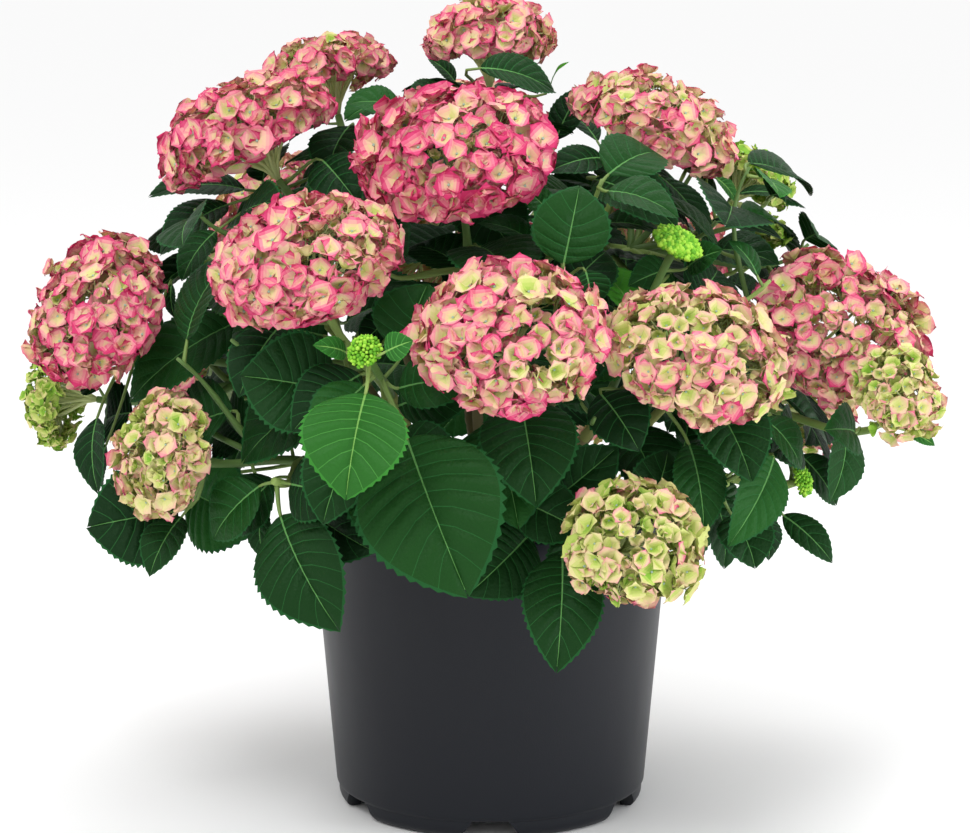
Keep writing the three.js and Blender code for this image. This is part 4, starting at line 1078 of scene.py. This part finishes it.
def add_head(piece, shoot, rng):
    look = LOOKS.get(shoot["name"], PLAIN_HEAD)
    Head(piece, shoot, look, rng).grow()
    if "lobe" in look:
        lobe = dict(shoot, at=shoot["at"] + vec(look["lobe"]), across=shoot["across"] * LOBE_SIZE)
        Head(piece, lobe, look, rng).grow()


# The beads of a bud: a wide one, from flat_from on, is flatter. size is a bead's, as a share of the
# bud's radius, and stalk a bead's stalk's radii.
BUD = dict(least=20, flat_from=14, round=0.62, flat=0.36, beads=2.4, lowest=-0.1, size=(0.11, 0.17),
           stalk=(1.0, 0.7, 0.6))
BEAD_RINGS = ((0.8, -0.5, 0), (0.9, 0.5, 0.5))  # how far out, how far up and the turn
BEAD_SIDES = 6
BEAD_ENDS = (-1.1, 1.35)


def bead(size):
    """A small pointed bead, of two rings between its ends."""
    turn = np.arange(BEAD_SIDES) * ROUND / BEAD_SIDES
    rings = [np.stack((out * np.cos(turn + t), out * np.sin(turn + t), np.full(BEAD_SIDES, up)), 1)
             for out, up, t in BEAD_RINGS]
    foot, tip = (UP * end * size for end in BEAD_ENDS)
    return capped(np.vstack(rings) * size, BEAD_SIDES, foot, tip)


def add_bud(piece, shoot, rng):
    """A tight cluster of beads on short rays, flatter where it is wide."""
    frame_turn = frame_of(shoot["face"])
    radius = shoot["bud"] / 2
    flat = BUD["round"] if radius < BUD["flat_from"] else BUD["flat"]
    for way in dome_points(round(BUD["beads"] * radius * math.sqrt(radius)), BUD["lowest"]):
        points, faces = bead(radius * rng.uniform(*BUD["size"]))
        place = way * (radius, radius, radius * flat) * rng.uniform(0.84, 1.0)
        place = shoot["at"] + frame_turn @ (place - UP * radius * (BUD["round"] - flat))
        turn = frame_turn @ frame_of(unit(way + UP * 0.4))
        piece.add(points @ turn.T + place, faces, int(rng.integers(0, len(BUD_MATERIALS))))
        middle = (shoot["neck"] + place) / 2 + shoot["face"] * 1.5
        stalk = tube(np.array((shoot["neck"], middle, place)), BUD["stalk"], 3)
        piece.add(*stalk, int(rng.integers(0, 2)))


# ---------------------------------------------------------------- stems and canes


SHOOT_STEM = dict(steps=14, sides=8, slim=0.92, node=0.3, node_length=5)
BARK = dict(rows=56, sides=12, slim=0.9, node=0.16, nodes=4.2, node_width=0.07, ridges=0.035, grain=0.03,
            tone_rows=22, collar=(1.0, 1.2, 0.9))


def add_stem(piece, shoot, rng):
    """The stem of a shoot, a little thicker at each pair of leaves."""
    low, high = (STEM["root"], STEM["neck"]) if shoot["main"] else (FILL["root"], FILL["tip"])
    radii = np.linspace(low, high, SHOOT_STEM["steps"]) * SHOOT_STEM["slim"]
    length = shoot["curve"].length()
    shares = np.linspace(0, 1, SHOOT_STEM["steps"])
    for pair in range(shoot["pairs"]):
        node = 1 - (LEAF["first_node"] + pair * LEAF["node_spacing"]) / length
        away = (shares - node) * length / SHOOT_STEM["node_length"]
        radii = radii * (1 + SHOOT_STEM["node"] * np.exp(-(away**2)))
    tone = int(rng.integers(0, len(STEM_MATERIALS)))
    piece.add(*tube(shoot["curve"].points(shares), radii, SHOOT_STEM["sides"]), tone)


def build_canes(limbs, rng):
    """Canes with the relief of their bark and a swollen ring at each node."""
    piece = Piece("canes", "cane", BARK_MATERIALS, [f"cane_{limb['name']}" for limb in limbs])
    rows, sides = BARK["rows"], BARK["sides"]
    shares = np.linspace(0, 1, rows)
    nodes = np.exp(-(((shares * BARK["nodes"]) % 1 - 0.5) / BARK["node_width"]) ** 2)
    radii = np.linspace(CANE["foot"], CANE["tip"], rows) * (BARK["slim"] + BARK["node"] * nodes)
    for limb in limbs:
        points, faces = tube(limb["curve"].points(shares), radii, sides)
        centres = np.repeat(limb["curve"].points(shares), sides, 0)
        grain = np.tile(rng.normal(0, BARK["ridges"], sides), rows)
        grain = grain + rng.normal(0, BARK["grain"], rows * sides)
        points[: rows * sides] += (points[: rows * sides] - centres) * grain[:, None]
        piece.add(points, faces, np.minimum(faces[:, 0] // sides // BARK["tone_rows"], 2))
        collar = limb["fork"] + np.outer((0, STEM["collar"] / 2, STEM["collar"]), limb["way"])
        piece.add(*tube(collar, vec(BARK["collar"]) * CANE["tip"], sides), 2)
    piece.build()


# ---------------------------------------------------------------- the crown


def build_crown():
    rng = np.random.default_rng(SEEDS["looks"])
    limbs = grow_crown()
    grow_finer(limbs)
    masses = [f"leaves_{limb['name']}" for limb in limbs]
    stems = Piece("stems", "foliage", STEM_MATERIALS, masses)
    buds = Piece("buds", "foliage", BUD_MATERIALS)
    for limb in limbs:
        foliage = Piece(f"foliage_{limb['name']}", "foliage", LEAF_MATERIALS, [f"leaves_{limb['name']}"])
        for shoot in limb["shoots"]:
            add_stem(stems, shoot, rng)
            for leaf in shoot["grown"]:
                add_leaf(foliage, stems, leaf, leaf_tone(leaf, shoot, rng), rng)
            if shoot["bud"] >= BUD["least"]:
                add_bud(buds, shoot, rng)
            if shoot["across"]:
                slot = "green_blossom" if shoot["across"] < UNRIPE else "pink_blossom"
                bloom = Piece(f"florets_{shoot['name']}", slot, SEPAL_MATERIALS, [f"bloom_{shoot['name']}"])
                add_head(bloom, shoot, rng)
                bloom.build()
        foliage.build()
    stems.build()
    buds.build()
    build_canes(limbs, rng)


# ---------------------------------------------------------------- pot and soil

POT = dict(mouth=140.5, rim_band=16, wall_top=143, wall_foot=125.3, wall=2.6, step=17, foot=123.4,
           foot_round=9, foot_inner=110, hub=78, channel=15.5, notches=6, notch_top=28, notch_foot=47)
POT_SIDES = 168
POT_CREASE = 32  # edges that turn by more degrees stay sharp
SOIL = dict(dome=5, half_width=138, top=134, rings=24, sides=72, middle=120, clear=0.4, rough=0.9,
            chips=700, chip=(2.5, 9))


def arc(centre, radius, first, last, steps):
    """Points of an arc in a profile, by angle in degrees from outwards."""
    angles = np.radians(np.linspace(first, last, steps))
    return [(centre[0] + radius * math.cos(a), centre[1] + radius * math.sin(a)) for a in angles]


def wall_radius(height):
    share = (height - POT["step"]) / (POT_HEIGHT - POT["rim_band"] - POT["step"])
    return POT["wall_foot"] + (POT["wall_top"] - POT["wall_foot"]) * share


def pot_profile():
    band = POT_HEIGHT - POT["rim_band"]
    channel, wall, hub = POT["channel"], POT["wall"], POT["hub"]
    floor = channel + wall
    foot_inner, wall_foot, step = POT["foot_inner"], POT["wall_foot"], POT["step"]
    under = [(0.01, 0), (hub, 0), (hub + 4, channel), (foot_inner - 1, channel), (foot_inner, 0)]
    foot = arc((POT["foot"] - POT["foot_round"], POT["foot_round"]), POT["foot_round"], -90, 0, 8)
    side = [(POT["foot"], step - 3), (wall_foot - 0.4, step - 1), (wall_foot, step)]
    side += [(wall_radius(z), z) for z in np.linspace(step + 2, band - 1, 12)]
    rim = [(POT_RIM - 1, band + 0.5)] + arc((POT_RIM - 1, band + 2), 1, -45, 0, 3)
    rim += arc((POT_RIM - 2, POT_HEIGHT - 2), 2, 0, 90, 6)
    rim += arc((POT["mouth"] + 1.5, POT_HEIGHT - 1.5), 1.5, 90, 180, 5)
    inside = [(POT["mouth"], band), (wall_radius(band - 4) - wall, band - 4)]
    inside += [(wall_radius(floor) - wall, floor), (hub + 2, floor), (hub - 2, wall), (0.01, wall)]
    return under + foot + side + rim + inside


def lathe(profile, sides):
    """Points and triangles of a profile turned about the axis."""
    angles = np.arange(sides) * ROUND / sides
    radii, heights = np.array(profile).T
    x, y = np.outer(radii, np.cos(angles)), np.outer(radii, np.sin(angles))
    points = np.stack((x, y, np.repeat(heights[:, None], sides, 1)), -1).reshape(-1, 3)
    return capped(points, sides, UP * heights[0], UP * heights[-1])


def plain_object(name, points, faces):
    mesh = bpy.data.meshes.new(name)
    mesh.from_pydata((points * MM).tolist(), [], faces.tolist())
    obj = bpy.data.objects.new(name, mesh)
    bpy.context.scene.collection.objects.link(obj)
    return obj


def cut(obj, tool):
    """Cuts the tool out of the object, and removes the tool."""
    modifier = obj.modifiers.new("cut", "BOOLEAN")
    modifier.operation = "DIFFERENCE"
    modifier.solver = "EXACT"
    modifier.object = tool
    graph = bpy.context.evaluated_depsgraph_get()
    mesh = bpy.data.meshes.new_from_object(obj.evaluated_get(graph))
    obj.modifiers.clear()
    obj.data = mesh
    bpy.data.objects.remove(tool)


def crease(obj, angle):
    """Smooth faces, with sharp edges where they meet at more than an angle in degrees."""
    mesh = obj.data
    mesh.polygons.foreach_set("use_smooth", np.ones(len(mesh.polygons), bool))
    mesh.set_sharp_from_angle(angle=math.radians(angle))


def build_pot():
    pot = plain_object("plant_pot", *lathe(pot_profile(), POT_SIDES))
    near, far = POT["foot_inner"] - 8, POT["foot_inner"] + 16
    top, foot = POT["notch_top"] / 2, POT["notch_foot"] / 2 + 2
    outline = ((-foot, -1), (foot, -1), (top, POT["channel"] - 0.5), (-top, POT["channel"] - 0.5))
    corners = np.array([(x, y, z) for y in (-near, -far) for x, z in outline])
    sides = [(3, 2, 1), (3, 1, 0), (4, 5, 6), (4, 6, 7)]
    for j in range(4):
        k = (j + 1) % 4
        sides += [(j, k, k + 4), (j, k + 4, j + 4)]
    for i in range(POT["notches"]):
        turn = turned(i * ROUND / POT["notches"])
        cut(pot, plain_object("notch", corners @ turn.T, np.array(sides)))
    crease(pot, POT_CREASE)
    pot.data.materials.append(skin("pot", "pot_plastic", "#11141b", 0.4))
    dress(pot, ["pot"])


def soil_height(radius):
    """The height of the soil's gentle dome."""
    return SOIL_LEVEL - SOIL["dome"] * (radius / SOIL["half_width"]) ** 2


def build_soil(rng):
    """Potting mix with a rough top, and chips of bark lying on it."""
    piece = Piece("potting_mix", "soil", SOIL_MATERIALS, ["soil"])
    edge = SOIL_LEVEL - SOIL["dome"]
    clear = GAP + SOIL["clear"]
    floor = POT["channel"] + POT["wall"] + clear
    profile = [(POT["hub"] - 3, POT["wall"] + clear), (POT["hub"] + 1, floor)]
    profile += [(wall_radius(z) - POT["wall"] - clear, z) for z in (floor, SOIL["middle"], edge)]
    profile += [(r, soil_height(r)) for r in np.linspace(SOIL["top"], 4, SOIL["rings"])]
    points, faces = lathe(profile, SOIL["sides"])
    top = points[:, 2] > edge - 0.5
    points[top, 2] += rng.normal(0, SOIL["rough"], top.sum()) - 0.8
    piece.add(points, faces, 0)
    for _ in range(SOIL["chips"]):
        r, a = SOIL["top"] * math.sqrt(rng.random()), rng.uniform(0, ROUND)
        size = rng.uniform(*SOIL["chip"])
        chip = OCTAHEDRON * (size, size * rng.uniform(0.3, 0.6), size * 0.2)
        chip = chip + rng.normal(0, size * 0.07, (6, 3))
        tilt = frame_of(unit(vec((rng.normal(0, 0.25), rng.normal(0, 0.25), 1))))
        spin = turned(rng.uniform(0, math.pi))
        place = vec((r * math.cos(a), r * math.sin(a), soil_height(r) + 0.4))
        tone = int(rng.integers(0, len(SOIL_MATERIALS)))
        piece.add(chip @ spin.T @ tilt.T + place, OCTAHEDRON_FACES, tone)
    piece.build(smooth=False)


# ---------------------------------------------------------------- the studio

FLOOR_HALF = 60000  # in millimetres
MIDDLE = (0, 0, 0.38)
# Each light: its place, aim, width, power and colour.
LIGHTS = dict(
    key=((-0.8, -2.0, 2.6), MIDDLE, 1.2, 36, (1, 1, 1)),
    top=((0.3, 0.7, 2.7), MIDDLE, 1.3, 14, (1, 1, 1)),
    side=((2.0, -0.9, 0.5), (0, 0, 0.15), 0.9, 15, (0.92, 0.96, 1.0)),
)
# The camera's place, how far it looks down in degrees, and its lens: focal length over picture width.
CAMERA = dict(place=(-0.0044, -2.35, 0.74), down=10.3, sensor=36, lens=2985 / 970, reach=150)


def area_light(name, place, aim, size, power, colour):
    light = bpy.data.lights.new(name, "AREA")
    light.shape = "DISK"
    light.size = size
    light.energy = power
    light.color = colour
    obj = bpy.data.objects.new(name, light)
    bpy.context.scene.collection.objects.link(obj)
    obj.location = place
    obj.rotation_euler = (Vector(aim) - Vector(place)).to_track_quat("-Z", "Y").to_euler()


def build_studio():
    scene = bpy.context.scene
    far = FLOOR_HALF
    corners = np.array(((-far, -far, 0), (far, -far, 0), (far, far, 0), (-far, far, 0)), float)
    floor = plain_object("floor", corners, np.array(((0, 1, 2), (0, 2, 3))))
    floor.data.materials.append(Nodes("floor_paint", "#fafafa", 0.95, specular=0.0).material)

    world = bpy.data.worlds.new("studio")
    world.use_nodes = True
    background = world.node_tree.nodes["Background"]
    background.inputs["Color"].default_value = (1, 1, 1, 1)
    background.inputs["Strength"].default_value = 1.0
    scene.world = world
    for name, light in LIGHTS.items():
        area_light(name, *light)

    camera = bpy.data.cameras.new("camera")
    camera.sensor_width = CAMERA["sensor"]
    camera.lens = CAMERA["sensor"] * CAMERA["lens"]
    camera.clip_end = CAMERA["reach"]
    view = bpy.data.objects.new("camera", camera)
    scene.collection.objects.link(view)
    view.location = CAMERA["place"]
    view.rotation_euler = (math.radians(90 - CAMERA["down"]), 0, 0)
    scene.camera = view
    scene.view_settings.view_transform = "Standard"
    scene.view_settings.look = "None"


build_studio()
build_pot()
build_soil(np.random.default_rng(SEEDS["soil"]))
build_crown()
